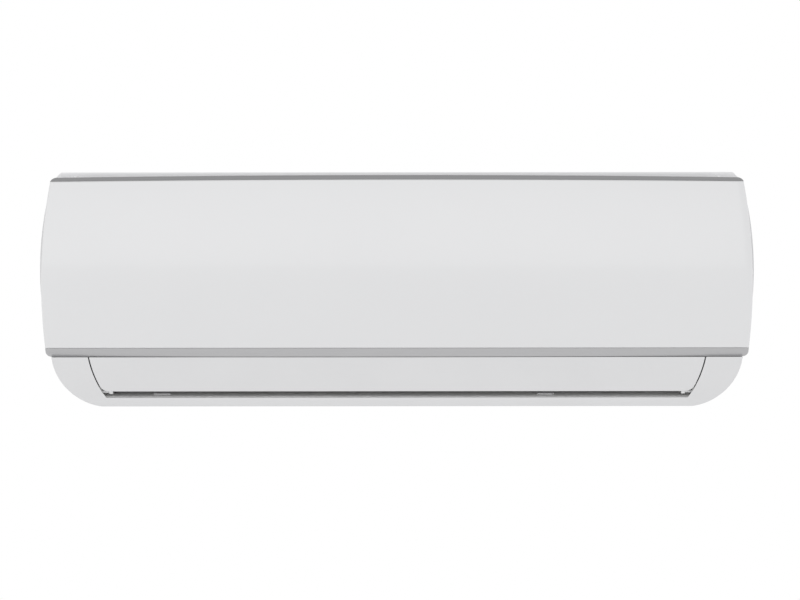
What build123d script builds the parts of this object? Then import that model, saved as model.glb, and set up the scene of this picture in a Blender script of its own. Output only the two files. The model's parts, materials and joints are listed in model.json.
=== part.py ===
from build123d import *
import math
import os

# Indoor unit of a split air conditioner, wall hung.
# Millimetres.  Pieces are drawn with x across the front, d out from the wall and h up from
# the unit's lowest edge; world Y is minus d.  At export the heights are shifted so that the
# origin lies in the wall plane, at the middle of the wall plate.

# ---- overall size and common clearances ------------------------------------------------
WIDTH = 965.0            # across the belly of the casing
HEIGHT = 319.0           # lowest edge to top deck
DEPTH = 215.0            # wall to the proudest point of the front panel
WALL = 2.5               # moulded casing wall
GAP = 0.3                # between a moving piece and its neighbour
SEAT = 0.2               # between two fixed pieces that nest
HALF = WIDTH / 2

# ---- casing outline seen from the front: how far each corner tucks in from the belly ----
FOOT_TUCK = 79.5         # end of the flat bottom edge
CORNER_TUCK = 32.5       # middle of the rounded lower corner
CORNER_H = 27.0
KNEE_TUCK = 15.5         # where the lower corner meets the side
KNEE_H = 66.0
SHOULDER_TUCK = 14.5     # where the side meets the top bevel
SHOULDER_DROP = 11.0
CROWN_TUCK = 25.5        # end of the top deck

# ---- front cover: panel with a trim strip above and below -------------------------------
BOW = 6.0                # how much nearer the wall the panel's ends lie than its middle
BELLY_H = 168.0          # height of the proudest line
PANEL_TOP_DROP = 12.0    # top edge of the panel below the deck
PANEL_TOP_BACK = 18.0    # and behind the proudest line
PANEL_FOOT_H = 80.0
PANEL_FOOT_BACK = 6.0
STRIP_TOP_DROP = 6.4
STRIP_TOP_BACK = 24.0
STRIP_FOOT_H = 68.6
STRIP_FOOT_BACK = 11.0
PANEL_TUCK = 2.0         # panel edge inside the casing's belly
PANEL_TOP_TUCK = 12.5
PANEL_FOOT_TUCK = 6.8
STRIP_TOP_TUCK = 21.5
STRIP_FOOT_TUCK = 15.5
PANEL_SKIN = 3.0
PANEL_RIM = 6.0          # depth of the folded rim
COVER_STANDOFF = 0.5     # between the rim's ends and the casing front
STRIP_TOP_DEPTH = 4.0    # top strip, front to back

# ---- casing section seen from the side ---------------------------------------------------
FLANGE_D = 14.0          # joint between rear base and front casing
LEDGE_H = 67.8           # ledge under the panel's bottom strip
LEDGE_BACK = 12.0        # its outer corner behind the proudest line
FACE_BULGE = 4.4         # rounding of the face that holds the louver
LIP_H = 12.4             # top of the lip below the outlet
LIP_BACK = 39.5
LIP_FOOT_BACK = 54.0     # front end of the flat bottom
LIP_BULGE = 1.8          # rounding of the lip's face
DECK_BACK = 47.0         # front edge of the top deck
DECK_ROUND = 3.0
GUTTER_DROP = 18.0       # floor of the gutter the panel hinges in, below the deck

# ---- inlet grille in the top deck ----------------------------------------------------------
GRILLE_TUCK = 78.0
GRILLE_D0 = 36.0
GRILLE_BACK = 12.0       # front edge behind the deck's edge
GRILLE_T = 1.5
GRILLE_LEDGE = 4.0
GRILLE_CELLS = 10
GRILLE_RIB = 4.0
GRILLE_SLOT = 8.0
GRILLE_BAR = 3.6

# ---- panel hinge and catches --------------------------------------------------------------
HINGE_BACK = 39.0        # hinge axis behind the proudest line
HINGE_DROP = 10.0        # and below the deck
HINGE_PIN_R = 2.5
RUNNING = 0.1            # radial clearance of pins and shafts
EAR_TUCK = 44.0          # hinge ear, in from the belly
EAR_T = 3.0
EAR_R = 4.5
ARM_T = 3.0
CATCH_X = 300.0
CATCH_H = 92.0
CATCH_W = 14.0
CATCH_T = 2.4
CATCH_REACH = 5.0        # how far a catch reaches through the casing face
CATCH_PLAY = 1.0
CATCH_RISE = 3.0         # room above it as the panel swings

# ---- outlet, louver --------------------------------------------------------------------------
LOUVER_TOP_H = 67.8
LOUVER_FOOT_H = 21.0
LOUVER_TOP_TUCK = 66.0
LOUVER_MID_TUCK = 72.8
LOUVER_MID_H = 43.4
LOUVER_FOOT_TUCK = 83.0
LOUVER_CORNER_R = 14.0
LOUVER_T = 3.0
SEAM = 1.6               # gap round the louver
OUTLET_TOP_H = 68.2
OUTLET_CORNER = 6.0     # slant of the outlet's lower corners
PIVOT_BACK = 39.0        # louver axis behind the proudest line
PIVOT_H = 21.0
LOUVER_PIN_R = 2.0
LUG_R = 3.6
LUG_T = 5.0
LUG_INSET = 10.0         # lug from the duct's side wall
LUG_REACH = 16.0         # lug's root on the blade, ahead of the pivot and above it
LUG_RISE = 16.0
SPINE_INSET = 10.0       # stiffening spine of the louver, in from the lugs
SPINE_RISE = 8.0         # and above the pivot
STEPPER_R = 11.0
STEPPER_L = 18.0
STEPPER_OFF_D = 7.0      # stepper body behind its shaft
STEPPER_OFF_H = 7.0
STEPPER_SHAFT_R = 1.2
STEPPER_SHAFT_L = 6.0
STEPPER_TAB = 5.0

# ---- rear base: back, pipe channel, scroll and duct -------------------------------------------
BACK_D = 12.0            # rear face of the back wall
BACK_T = 2.0
RIM_D = 1.0              # rear edge of the base's rim
CHANNEL_D = 44.0         # front wall of the pipe channel
CHANNEL_TOP_H = 64.0
BOTTOM_AHEAD = 25.0      # base bottom meets the casing's lip piece this far ahead of the fan
BOTTOM_TUCK = 87.5
SCROLL_T = 3.0
DUCT_TUCK = 81.5         # inner face of the outlet's side walls, in from the belly
DUCT_WALL = 3.0
BOSS_T = 5.0
CAP_W = 22.0             # caps over the casing screws
CAP_L = 9.0
CAP_BACK = 12.0          # behind the lip
CAP_T = 1.6
CAP_LEFT_X = -320.0
CAP_RIGHT_X = 202.0
SCREW_R = 2.0
SCREW_HEAD_R = 3.6
SCREW_HEAD_T = 2.2

# ---- cross-flow fan --------------------------------------------------------------------------
FAN_BEHIND = 79.0        # fan axis behind the front coil
FAN_DROP = 92.0          # and below the filter's bend
FAN_R = 50.0
FAN_LEFT_TUCK = 97.0      # left end of the drum, in from the belly
FAN_RIGHT_TUCK = 143.0
BLADES = 30
BLADE_T = 1.2
BLADE_DEPTH = 11.0
DISC_T = 2.0
DISCS = 9
SHAFT_R = 4.0
HUB_R = 14.0
SCROLL_REAR = 57.0       # scroll from the fan axis, straight behind it
SCROLL_DIAG = 63.0       # behind and below
SCROLL_UNDER = 76.0      # straight below
TROUGH_RISE = 44.0       # drain trough under the rear coil, above the fan axis
TROUGH_BEHIND = 33.0     # its front edge behind the fan axis
TROUGH_TALL = 8.0
SIDE_AHEAD = 17.0        # duct wall on the right starts this far ahead of the fan axis

# ---- coil -------------------------------------------------------------------------------------
COIL_LEFT_TUCK = 90.0    # left end of the fins, in from the belly
COIL_RIGHT_TUCK = 160.5
SLAB_FRONT_BACK = 41.0   # middle of the front slab behind the proudest line
SLAB_FOOT_RISE = 7.0     # its foot above the pan's floor
SLAB_HEAD_DROP = 16.0    # its head below the filter's bend
UPPER_FOOT_BACK = 8.0    # upper slab's ends behind the front slab
UPPER_FOOT_DROP = 8.0
UPPER_HEAD_BACK = 48.0
UPPER_HEAD_RISE = 39.0
REAR_FOOT_BEHIND = 49.0  # rear slab's foot behind the fan axis, its head ahead of it
REAR_FOOT_DROP = 28.0
REAR_HEAD_AHEAD = 9.0
REAR_HEAD_RISE = 40.0
SLAB_T = 24.0
TUBE_R = 3.5
TUBE_PITCH = 21.0
TUBE_ROW = 12.0
TUBE_PLAY = 0.1
END_PLATE_T = 1.5
END_PLATE_RIM = 1.2
BEND_REACH = 7.0         # straight run of a tube outside the end plate

# ---- drain pan --------------------------------------------------------------------------------
PAN_T = 2.5
PAN_FLOOR_H = 99.0
PAN_TALL = 13.0
PAN_FRONT_BACK = 25.0    # front wall behind the proudest line
TONGUE_AHEAD = 55.0      # tongue ahead of the fan axis
TONGUE_T = 3.0
TONGUE_LIP = 6.0         # above the pan's rim
CEILING_RISE = 8.0       # underside of the pan at its front, above the outlet
PAN_RIBS = 6             # ribs that carry the front slab
PAN_RIB_T = 2.0
PAN_RIB_L = 20.0
PAN_RIB_INSET = 20.0
DRAIN_RISE = 5.5         # drain port above the pan's floor
PLUG_R = 4.0
PLUG_HEAD_R = 6.0
PLUG_HEAD_L = 9.0

# ---- filters ------------------------------------------------------------------------------------
FILTER_BACK = 21.0       # outer face behind the proudest line
FILTER_T = 3.5
FILTER_FOOT_RISE = 2.0   # foot above the pan's rim
FILTER_BEND_DROP = 97.0  # below the deck
FILTER_BEND_R = 40.0
FILTER_TOP_DROP = 25.2
FILTER_TAIL = 43.0       # flat rear stretch
FILTER_RISE = math.radians(30.0)
FILTER_TOP_R = 30.0
FILTER_OVERLAP = 4.0     # filter past the fins at each end
FILTER_PLAY = 2.0        # beside the filter, in its track
FRAME_W = 7.0
MESH_T = 0.8
FRAME_T = FILTER_T - MESH_T
RIB_W = 2.0
FRAME_RIBS = 6
FRAME_BAR_1 = 38.0       # cross bars above the filter's foot
FRAME_BAR_2 = 73.0
TAB_W = 40.0
TAB_REACH = 4.0
TAB_T = 2.5
TRACK_T = 2.0
WINDOW_LAP = 5.0         # how far the casing laps a filter's edge
MULLION = 16.0           # between the two filters
WINDOW_DROP = 6.0        # head of the filter windows below the gutter

# ---- vertical vanes -----------------------------------------------------------------------------
VANES = 6                # in each of the two groups
VANE_PITCH = 60.0
VANE_GROUP_X = 190.0     # middle of a group
VANE_AHEAD = 35.0        # pivot ahead of the fan axis
VANE_FRONT = 28.0
VANE_REAR = 12.0
VANE_TALL = 45.0
VANE_T = 1.5
VANE_PIN_R = 2.0
VANE_FOOT_R = 6.0
CRANK = 16.0             # tie bar pegs ahead of the pivots
PEG_R = 1.5
PEG_PLAY = 0.4
BAR_T = 2.5
BAR_W = 8.0

# ---- electrics ---------------------------------------------------------------------------------
MOTOR_R = 42.0
MOTOR_L = 54.0
MOTOR_GAP = 10.0         # drum to motor
PARTITION_GAP = 5.0      # drum to the wall before the motor
BAY_GAP = 2.0            # motor to the bay's floor
CRADLE_T = 4.0
CRADLE_INSET = 8.0       # ribs in from the motor's ends
STRAP_T = 2.2
BOX_X_TUCK = 26.0        # right side of the control box, in from the belly
BOX_W = 100.0
BOX_BEFORE_MOTOR = 5.0   # between the motor and the box
BOX_DEEP = 44.0
BOX_FOOT_RISE = 23.0     # foot of the box above the pan's floor
BOX_HEAD_DROP = 35.0     # its head below the deck
BOX_T = 2.0
POST_L = 6.0             # posts that carry the main board
POST_R = 3.0
POST_INSET = 14.0
POST_RISE = 60.0
BOX_FOOT_W = 12.0
BOARD_T = 1.6
BOARD_INSET = 6.0
BOARD_RISE = 52.0
CHIPS = [                # left edge, width, height, below the board's top edge, thickness
    (6.0, 28.0, 30.0, 8.0, 22.0),
    (48.0, 19.0, 16.0, 14.0, 15.0),
    (72.0, 12.0, 24.0, 10.0, 12.0),
]
CAPACITORS = 3
CAPACITOR_R = 6.5
CAPACITOR_L = 20.0
CAPACITOR_X = 14.0
CAPACITOR_PITCH = 24.0
CAPACITOR_RISE = 40.0
SOCKETS = 5
SOCKET_W = 11.0
SOCKET_TALL = 7.0
SOCKET_T = 8.0
SOCKET_X = 8.0
SOCKET_PITCH = 15.0
SOCKET_RISE = 6.0
TERMINALS = 5
TERMINAL_PITCH = 12.0
TERMINAL_T = 14.0
TERMINAL_TALL = 24.0
TERMINAL_RISE = 14.0
TERMINAL_FLOOR = 6.0
TERMINAL_RIB = 1.5
TERMINAL_END = 4.0
TERMINAL_SCREW_R = 3.0
SWITCH_T = 1.6
SWITCH_W = 6.0
DISPLAY_GAP = 3.0        # display board ahead of the box's cover
DISPLAY_BOARD_TALL = 28.0
DISPLAY_BOARD_SIDE = 28.0
DISPLAY_BOARD_RIGHT = 14.0
DIGITS_W = 36.0
DIGITS_TALL = 12.0
DIGITS_GAP = 2.5
STUD_R = 2.5
STUD_INSET = 4.0
BUTTON_TUCK = 58.5       # run button, in from the belly
BUTTON_RISE = 20.0       # above the pan's rim
BUTTON_R = 4.0
BUTTON_TRAVEL = 1.2
DISPLAY_TUCK = 108.5
DISPLAY_W = 44.0
DISPLAY_TALL = 16.0

# ---- wall plate and pipework ----------------------------------------------------------------------
PLATE_W = 720.0
PLATE_FOOT_H = 96.0
PLATE_HEAD_DROP = 35.0
PLATE_CORNER_R = 8.0
SLOT_DX = 150.0          # slots along the plate's middle
SLOT_L = 70.0
SLOT_W = 16.0
PAD_FAR_X = 310.0        # pressed pads that carry the base
PAD_NEAR_X = 75.0
PAD_W = 20.0
PAD_INSET = 14.0
PLATE_T = 1.5
SCREW_DX = 500.0         # wall screw pattern
SCREW_DH = 120.0
SCREW_HOLE_R = 2.75
HOOK_X = 250.0
HOOK_W = 36.0
LIQUID_R = 3.175
SUCTION_R = 6.35
LIQUID_FLARE_R = 5.56
SUCTION_FLARE_R = 9.53
FLARE_L = 16.0
HEX_L = 6.0              # hexagon at the pipe end of a flare union
HEX_FLAT = 1.12          # half across its flats, by the thread's radius
PIPE_BEND_R = 26.0
PIPE_D = 28.0
SUCTION_H = 46.0
LIQUID_H = 18.0
SUCTION_TUCK = 56.5      # where the pipes drop into the channel, in from the belly
LIQUID_TUCK = 42.5
SUCTION_END = -60.0
LIQUID_END = -20.0
SUCTION_WALL = 0.8
LIQUID_WALL = 0.7
PIPE_SLOT = 15.0         # passage beside the pipes where they drop into the channel
FOAM_T = 5.5
FOAM_START = 40.0        # bare pipe before the sleeve
FOAM_STOP = 46.0         # and between the sleeve and the drop
CLAMP_X = 196.0
CLAMP_W = 14.0
CLAMP_RIM = 2.5
SPIGOT_R = 8.0
SPIGOT_L = 20.0
SPIGOT_TUCK = 110.5
SPIGOT_H = 30.0
HOOK_DROP = 57.0         # hooks below the deck
HOOK_T = 1.5
HOOK_REACH = 5.0         # hooks ahead of the back wall
HOOK_LIP = 10.0
HOOK_SLOT = 16.0
BEARING_R = 11.0

# ---- derived places ---------------------------------------------------------------------------------
LOUVER_D = DEPTH - PIVOT_BACK
HINGE_D = DEPTH - HINGE_BACK
HINGE_H = HEIGHT - HINGE_DROP
DECK_D = DEPTH - DECK_BACK
GUTTER_H = HEIGHT - GUTTER_DROP
GRILLE_HALF = HALF - GRILLE_TUCK
GRILLE_D1 = DECK_D - GRILLE_BACK
CASE_BACK = BOW + PANEL_RIM + COVER_STANDOFF
LIP_D = DEPTH - LIP_BACK
DUCT_HALF = HALF - DUCT_TUCK
CAP_D = LIP_D - CAP_BACK
BOTTOM_HALF = HALF - BOTTOM_TUCK
FAN_X0 = FAN_LEFT_TUCK - HALF
FAN_X1 = HALF - FAN_RIGHT_TUCK
COIL_X0 = COIL_LEFT_TUCK - HALF
COIL_X1 = HALF - COIL_RIGHT_TUCK
MOTOR_X0 = FAN_X1 + MOTOR_GAP
PARTITION_X = FAN_X1 + PARTITION_GAP
PLATE_H0 = PLATE_FOOT_H
PLATE_H1 = HEIGHT - PLATE_HEAD_DROP
PLATE_MID_H = (PLATE_H0 + PLATE_H1) / 2
PLATE_HALF = PLATE_W / 2
BOX_X1 = HALF - BOX_X_TUCK
BOX_X0 = BOX_X1 - BOX_W
SUCTION_X = HALF - SUCTION_TUCK
LIQUID_X = HALF - LIQUID_TUCK
FOAM_X1 = SUCTION_X - FOAM_STOP
BUTTON_X = HALF - BUTTON_TUCK
BUTTON_H = PAN_FLOOR_H + PAN_TALL + BUTTON_RISE
DISPLAY_X = HALF - DISPLAY_TUCK
SPIGOT_X = SPIGOT_TUCK - HALF
HOOK_H = HEIGHT - HOOK_DROP
FILTER_D = DEPTH - FILTER_BACK
FILTER_TOP_H = HEIGHT - FILTER_TOP_DROP
FILTER_BEND_H = HEIGHT - FILTER_BEND_DROP
PAN_RIM_H = PAN_FLOOR_H + PAN_TALL
TONGUE_TOP_H = PAN_RIM_H + TONGUE_LIP
CEILING_H = OUTLET_TOP_H + CEILING_RISE
FILTER_FOOT_H = PAN_RIM_H + FILTER_FOOT_RISE
SLAB_FRONT_D = DEPTH - SLAB_FRONT_BACK
SLAB_FOOT_H = PAN_FLOOR_H + SLAB_FOOT_RISE
DRAIN_D = SLAB_FRONT_D
DRAIN_H = PAN_FLOOR_H + DRAIN_RISE
FAN_D = SLAB_FRONT_D - FAN_BEHIND
FAN_H = FILTER_BEND_H - FAN_DROP
BAY_FLOOR_H = FAN_H - MOTOR_R - BAY_GAP
TROUGH_H = FAN_H + TROUGH_RISE
TROUGH_D = FAN_D - TROUGH_BEHIND
DUCT_SIDE_D = FAN_D + SIDE_AHEAD
TONGUE_D = FAN_D + TONGUE_AHEAD
BOTTOM_D = FAN_D + BOTTOM_AHEAD
VANE_D = FAN_D + VANE_AHEAD
BOX_D0 = FAN_D + MOTOR_R + BOX_BEFORE_MOTOR
BOX_D1 = BOX_D0 + BOX_DEEP
BOX_H0 = PAN_FLOOR_H + BOX_FOOT_RISE
BOX_H1 = HEIGHT - BOX_HEAD_DROP
DISPLAY_BOARD_D = BOX_D1 + DISPLAY_GAP
ROOT2 = math.sqrt(2)


# ---- drawing helpers ------------------------------------------------------------------------------

def prism(outline, x0, x1):
    """Solid between x0 and x1 of an outline drawn in (d, h)."""
    side = Plane(origin=(x1, 0, 0), x_dir=(0, -1, 0), z_dir=(-1, 0, 0))
    return extrude(side * outline, amount=x1 - x0)


def plate(outline, d0, d1):
    """Solid between d0 and d1 of an outline drawn in (x, h)."""
    front = Plane(origin=(0, -d0, 0), x_dir=(1, 0, 0), z_dir=(0, -1, 0))
    return extrude(front * outline, amount=d1 - d0)


def block(x0, x1, d0, d1, h0, h1):
    """Box between the given faces."""
    return Pos((x0 + x1) / 2, -(d0 + d1) / 2, (h0 + h1) / 2) * Box(x1 - x0, d1 - d0, h1 - h0)


def rod(x0, x1, d, h, radius):
    """Cylinder along x."""
    return prism(Pos(d, h) * Circle(radius), x0, x1)


def peg(x, h, d0, d1, radius):
    """Cylinder pointing out of the wall."""
    return plate(Pos(x, h) * Circle(radius), d0, d1)


def polygon(*points):
    """Closed straight-sided outline."""
    return make_face(Polyline(*points, close=True))


def rectangle(a0, a1, b0, b1):
    """Upright rectangle between two pairs of edges."""
    return polygon((a0, b0), (a1, b0), (a1, b1), (a0, b1))


def mirrored_outline(right_edges):
    """Face closed by the edges of its right half, given from bottom to top, and their mirror."""
    left_edges = [mirror(edge, about=Plane.YZ) for edge in right_edges]
    low = right_edges[0] @ 0
    high = right_edges[-1] @ 1
    bottom = Line((-low.X, low.Y), (low.X, low.Y))
    top = Line((high.X, high.Y), (-high.X, high.Y))
    return make_face([bottom, *right_edges, top, *left_edges])


def band(lower_path, upper_path):
    """Face between two open paths that run the same way, closed by straight ends."""
    ends = [Line(lower_path[0] @ 0, upper_path[0] @ 0), Line(lower_path[-1] @ 1, upper_path[-1] @ 1)]
    return make_face([*lower_path, *upper_path, *ends])


# ---- casing and cover outlines -----------------------------------------------------------------------

def barrel(inset=0.0):
    """Outline of the casing from the front, drawn in by an inset."""
    corner = ThreePointArc((HALF - FOOT_TUCK, 0), (HALF - CORNER_TUCK, CORNER_H), (HALF - KNEE_TUCK, KNEE_H))
    shoulder = (HALF - SHOULDER_TUCK, HEIGHT - SHOULDER_DROP)
    middle = (HALF, (KNEE_H + HEIGHT - SHOULDER_DROP) / 2)
    side = ThreePointArc((HALF - KNEE_TUCK, KNEE_H), middle, shoulder)
    bevel = Line(shoulder, (HALF - CROWN_TUCK, HEIGHT))
    outline = mirrored_outline([corner, side, bevel])
    if inset:
        outline = offset(outline, amount=-inset)
    return outline


def face_arc(back=0.0):
    """Side view of the face below the panel, from the lip up to the ledge."""
    low = Vector(LIP_D - back, LIP_H)
    high = Vector(DEPTH - LEDGE_BACK - back, LEDGE_H)
    across = (high - low).normalized()
    bulge = Vector(across.Y, -across.X) * FACE_BULGE
    return ThreePointArc(low, (low + high) * 0.5 + bulge, high)


def lip_arc():
    """Side view of the lip below the outlet, from the flat bottom up to its top edge."""
    low = Vector(DEPTH - LIP_FOOT_BACK, 0)
    high = Vector(LIP_D, LIP_H)
    across = (high - low).normalized()
    bulge = Vector(across.Y, -across.X) * LIP_BULGE
    return ThreePointArc(low, (low + high) * 0.5 + bulge, high)


def casing_section():
    """Side view of the front casing, solid."""
    ledge = Line((DEPTH - LEDGE_BACK, LEDGE_H), (DEPTH - STRIP_FOOT_BACK - CASE_BACK, LEDGE_H))
    foot = (DEPTH - PANEL_FOOT_BACK - CASE_BACK, PANEL_FOOT_H)
    front = ThreePointArc(foot, (DEPTH - CASE_BACK, BELLY_H), (DEPTH - PANEL_TOP_BACK - CASE_BACK, GUTTER_H))
    bend = DECK_ROUND * (1 - 1 / ROOT2)
    edges = [
        Line((FLANGE_D, 0), (DEPTH - LIP_FOOT_BACK, 0)),
        lip_arc(),
        face_arc(),
        ledge,
        Line(ledge @ 1, foot),
        front,
        Line(front @ 1, (DECK_D, GUTTER_H)),
        Line((DECK_D, GUTTER_H), (DECK_D, HEIGHT - DECK_ROUND)),
        ThreePointArc((DECK_D, HEIGHT - DECK_ROUND), (DECK_D - bend, HEIGHT - bend), (DECK_D - DECK_ROUND, HEIGHT)),
        Line((DECK_D - DECK_ROUND, HEIGHT), (FLANGE_D, HEIGHT)),
        Line((FLANGE_D, HEIGHT), (FLANGE_D, 0)),
    ]
    return make_face(edges)


def cover_contour(back):
    """Side view of the cover's outer surface, bottom to top, moved towards the wall."""
    strip_foot = (DEPTH - STRIP_FOOT_BACK - back, STRIP_FOOT_H)
    panel_foot = (DEPTH - PANEL_FOOT_BACK - back, PANEL_FOOT_H)
    belly = (DEPTH - back, BELLY_H)
    panel_top = (DEPTH - PANEL_TOP_BACK - back, HEIGHT - PANEL_TOP_DROP)
    strip_top = (DEPTH - STRIP_TOP_BACK - back, HEIGHT - STRIP_TOP_DROP)
    return [
        Line(strip_foot, panel_foot),
        ThreePointArc(panel_foot, belly, panel_top),
        Line(panel_top, strip_top),
    ]


def bowed(section):
    """Turn a side-view face about a far upright axis, so that it bows in plan."""
    far = HALF * HALF / (2 * BOW)
    axis = Axis((0, far - DEPTH, 0), (0, 0, 1))
    sweep = 2.4 * math.degrees(math.asin(HALF / far))
    side = Plane(origin=(0, 0, 0), x_dir=(0, -1, 0), z_dir=(-1, 0, 0))
    turned = revolve(side * section, axis, revolution_arc=sweep)
    return turned.rotate(axis, -sweep / 2)


def cover_outline(inset=0.0):
    """Outline of the panel with both strips, from the front."""
    foot_h = STRIP_FOOT_H
    low_round = (PANEL_FOOT_H - foot_h) / 2
    high = HEIGHT - STRIP_TOP_DROP
    panel_foot = (HALF - PANEL_FOOT_TUCK, PANEL_FOOT_H)
    panel_top = (HALF - PANEL_TOP_TUCK, HEIGHT - PANEL_TOP_DROP)
    turn = (HALF - PANEL_FOOT_TUCK - 0.5, foot_h + low_round)
    foot_end = (HALF - STRIP_FOOT_TUCK, foot_h)
    foot_mid = ((turn[0] * 2.4 + foot_end[0]) / 3.4, foot_h + low_round * 0.32)
    top_end = (HALF - STRIP_TOP_TUCK, high)
    top_mid = ((panel_top[0] * 2.2 + top_end[0]) / 3.2, (panel_top[1] + high * 2.2) / 3.2)
    edges = [
        ThreePointArc(foot_end, foot_mid, turn),
        Line(turn, panel_foot),
        ThreePointArc(panel_foot, (HALF - PANEL_TUCK, (KNEE_H + panel_top[1]) / 2), panel_top),
        ThreePointArc(panel_top, top_mid, top_end),
    ]
    outline = mirrored_outline(edges)
    if inset:
        outline = offset(outline, amount=-inset)
    return outline


def outlet_side(grow):
    """Right edge of the louver from the front, low end first."""
    foot = (HALF - LOUVER_FOOT_TUCK + grow, LOUVER_FOOT_H)
    middle = (HALF - LOUVER_MID_TUCK + grow, LOUVER_MID_H)
    top = (HALF - LOUVER_TOP_TUCK + grow, LOUVER_TOP_H)
    return ThreePointArc(foot, middle, top)


def louver_outline():
    """Front outline of the louver, with rounded lower corners."""
    outline = mirrored_outline([outlet_side(0.0)])
    return fillet(outline.vertices().sort_by(Axis.Y)[:2], radius=LOUVER_CORNER_R)


def outlet_outline():
    """Front outline of the opening that the louver closes."""
    side = outlet_side(SEAM)
    foot = side @ 0
    top = side @ 1
    corner = Line((foot.X - OUTLET_CORNER, LIP_H), foot)
    lintel = Line(top, (top.X, OUTLET_TOP_H))
    return mirrored_outline([corner, side, lintel])


def case_front(h):
    """Distance from the wall of the casing face behind the panel, at height h."""
    far_d = DEPTH - PANEL_FOOT_BACK - CASE_BACK
    far_h = PANEL_FOOT_H
    if h > BELLY_H:
        far_d = DEPTH - PANEL_TOP_BACK - CASE_BACK
        far_h = GUTTER_H
    ratio = (h - BELLY_H) / (far_h - BELLY_H)
    return DEPTH - CASE_BACK - (DEPTH - CASE_BACK - far_d) * ratio * ratio


# ---- duct floor frame ------------------------------------------------------------------------------

FLOOR_REAR = Vector(FAN_D, FAN_H - SCROLL_UNDER)
FLOOR_FRONT = Vector(LIP_D - 3.5, LIP_H + 1.6)
FLOW = (FLOOR_FRONT - FLOOR_REAR).normalized()
RISE = Vector(-FLOW.Y, FLOW.X)


def floor_point(d, above=0.0):
    """Point of the duct floor at distance d from the wall, or above it."""
    along = (d - FLOOR_REAR.X) / FLOW.X
    return FLOOR_REAR + FLOW * along + RISE * above


def on_floor(x, d):
    """Plane on the duct floor: local x along the flow, local y across, local z off the floor."""
    spot = floor_point(d)
    return Plane(origin=(x, -spot.X, spot.Y), x_dir=(0, -FLOW.X, FLOW.Y), z_dir=(0, -RISE.X, RISE.Y))


# ---- filters: path of the filter in side view ----------------------------------------------------------

def filter_path(inward):
    """Side view of the filter's outer face, from its foot to its rear end, moved inwards."""
    radius = FILTER_BEND_R - inward
    centre = Vector(FILTER_D - FILTER_BEND_R, FILTER_BEND_H)
    turn = math.pi / 2 - FILTER_RISE
    half_turn = turn / 2
    foot = (FILTER_D - inward, FILTER_FOOT_H)
    bend_in = (FILTER_D - inward, FILTER_BEND_H)
    bend_mid = centre + Vector(math.cos(half_turn), math.sin(half_turn)) * radius
    bend_out = centre + Vector(math.cos(turn), math.sin(turn)) * radius
    start = FILTER_BEND_H + FILTER_BEND_R * math.sin(turn)
    climb = FILTER_TOP_H - FILTER_TOP_R * (1 - math.cos(FILTER_RISE)) - start
    run = Vector(-math.cos(FILTER_RISE), math.sin(FILTER_RISE)) * (climb / math.sin(FILTER_RISE))
    top_in = bend_out + run
    top_centre = top_in - Vector(math.cos(turn), math.sin(turn)) * (FILTER_TOP_R - inward)
    lean = math.pi / 2 - FILTER_RISE / 2
    top_mid = top_centre + Vector(math.cos(lean), math.sin(lean)) * (FILTER_TOP_R - inward)
    top_out = top_centre + Vector(0, FILTER_TOP_R - inward)
    tail = top_out - Vector(FILTER_TAIL, 0)
    return [
        Line(foot, bend_in),
        ThreePointArc(bend_in, bend_mid, bend_out),
        Line(bend_out, top_in),
        ThreePointArc(top_in, top_mid, top_out),
        Line(top_out, tail),
    ]


def filter_spans():
    """Left and right edges of the two filters."""
    middle = (COIL_X0 + COIL_X1) / 2
    return [(COIL_X0 - FILTER_OVERLAP, middle - MULLION / 2), (middle + MULLION / 2, COIL_X1 + FILTER_OVERLAP)]


# ---- coil slabs ------------------------------------------------------------------------------------------

SLABS = {
    "lower": (Vector(SLAB_FRONT_D, SLAB_FOOT_H), Vector(SLAB_FRONT_D, FILTER_BEND_H - SLAB_HEAD_DROP)),
    "upper": (Vector(SLAB_FRONT_D - UPPER_FOOT_BACK, FILTER_BEND_H - UPPER_FOOT_DROP),
              Vector(SLAB_FRONT_D - UPPER_HEAD_BACK, FILTER_BEND_H + UPPER_HEAD_RISE)),
    "rear": (Vector(FAN_D - REAR_FOOT_BEHIND, FILTER_BEND_H - REAR_FOOT_DROP),
             Vector(FAN_D + REAR_HEAD_AHEAD, FILTER_BEND_H + REAR_HEAD_RISE)),
}


def slab_face(name, grow=0.0):
    """Side view of one coil slab, or of the slab with a margin."""
    low, high = SLABS[name]
    middle = (low + high) * 0.5
    run = high - low
    lean = math.degrees(math.atan2(run.Y, run.X))
    shape = Rectangle(run.length + 2 * grow, SLAB_T + 2 * grow)
    return Pos(middle.X, middle.Y) * (Rot(0, 0, lean) * shape)


def slab_tubes(name):
    """Tube centres of one slab: two staggered rows, in pairs up the slab."""
    low, high = SLABS[name]
    run = high - low
    along = run.normalized()
    across = Vector(-along.Y, along.X)
    count = int((run.length - TUBE_PITCH / 2) / TUBE_PITCH)
    count -= count % 2
    margin = (run.length - (count - 1) * TUBE_PITCH) / 2
    rows = []
    for side in (-0.5, 0.5):
        shift = across * (TUBE_ROW * side)
        rows.append([low + along * (margin + i * TUBE_PITCH) + shift for i in range(count)])
    return rows


def hairpin(first, second, x0, x1):
    """Long U of tube: two straight runs joined by a half turn beyond x0."""
    a = Vector(x1, -first.X, first.Y)
    b = Vector(x0, -first.X, first.Y)
    c = Vector(x0, -second.X, second.Y)
    d = Vector(x1, -second.X, second.Y)
    apex = (b + c) * 0.5 - Vector((c - b).length / 2, 0, 0)
    line = Wire([Line(a, b).edge(), ThreePointArc(b, apex, c).edge(), Line(c, d).edge()])
    return sweep(Plane(origin=a, z_dir=(-1, 0, 0)) * Circle(TUBE_R), path=line)


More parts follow.
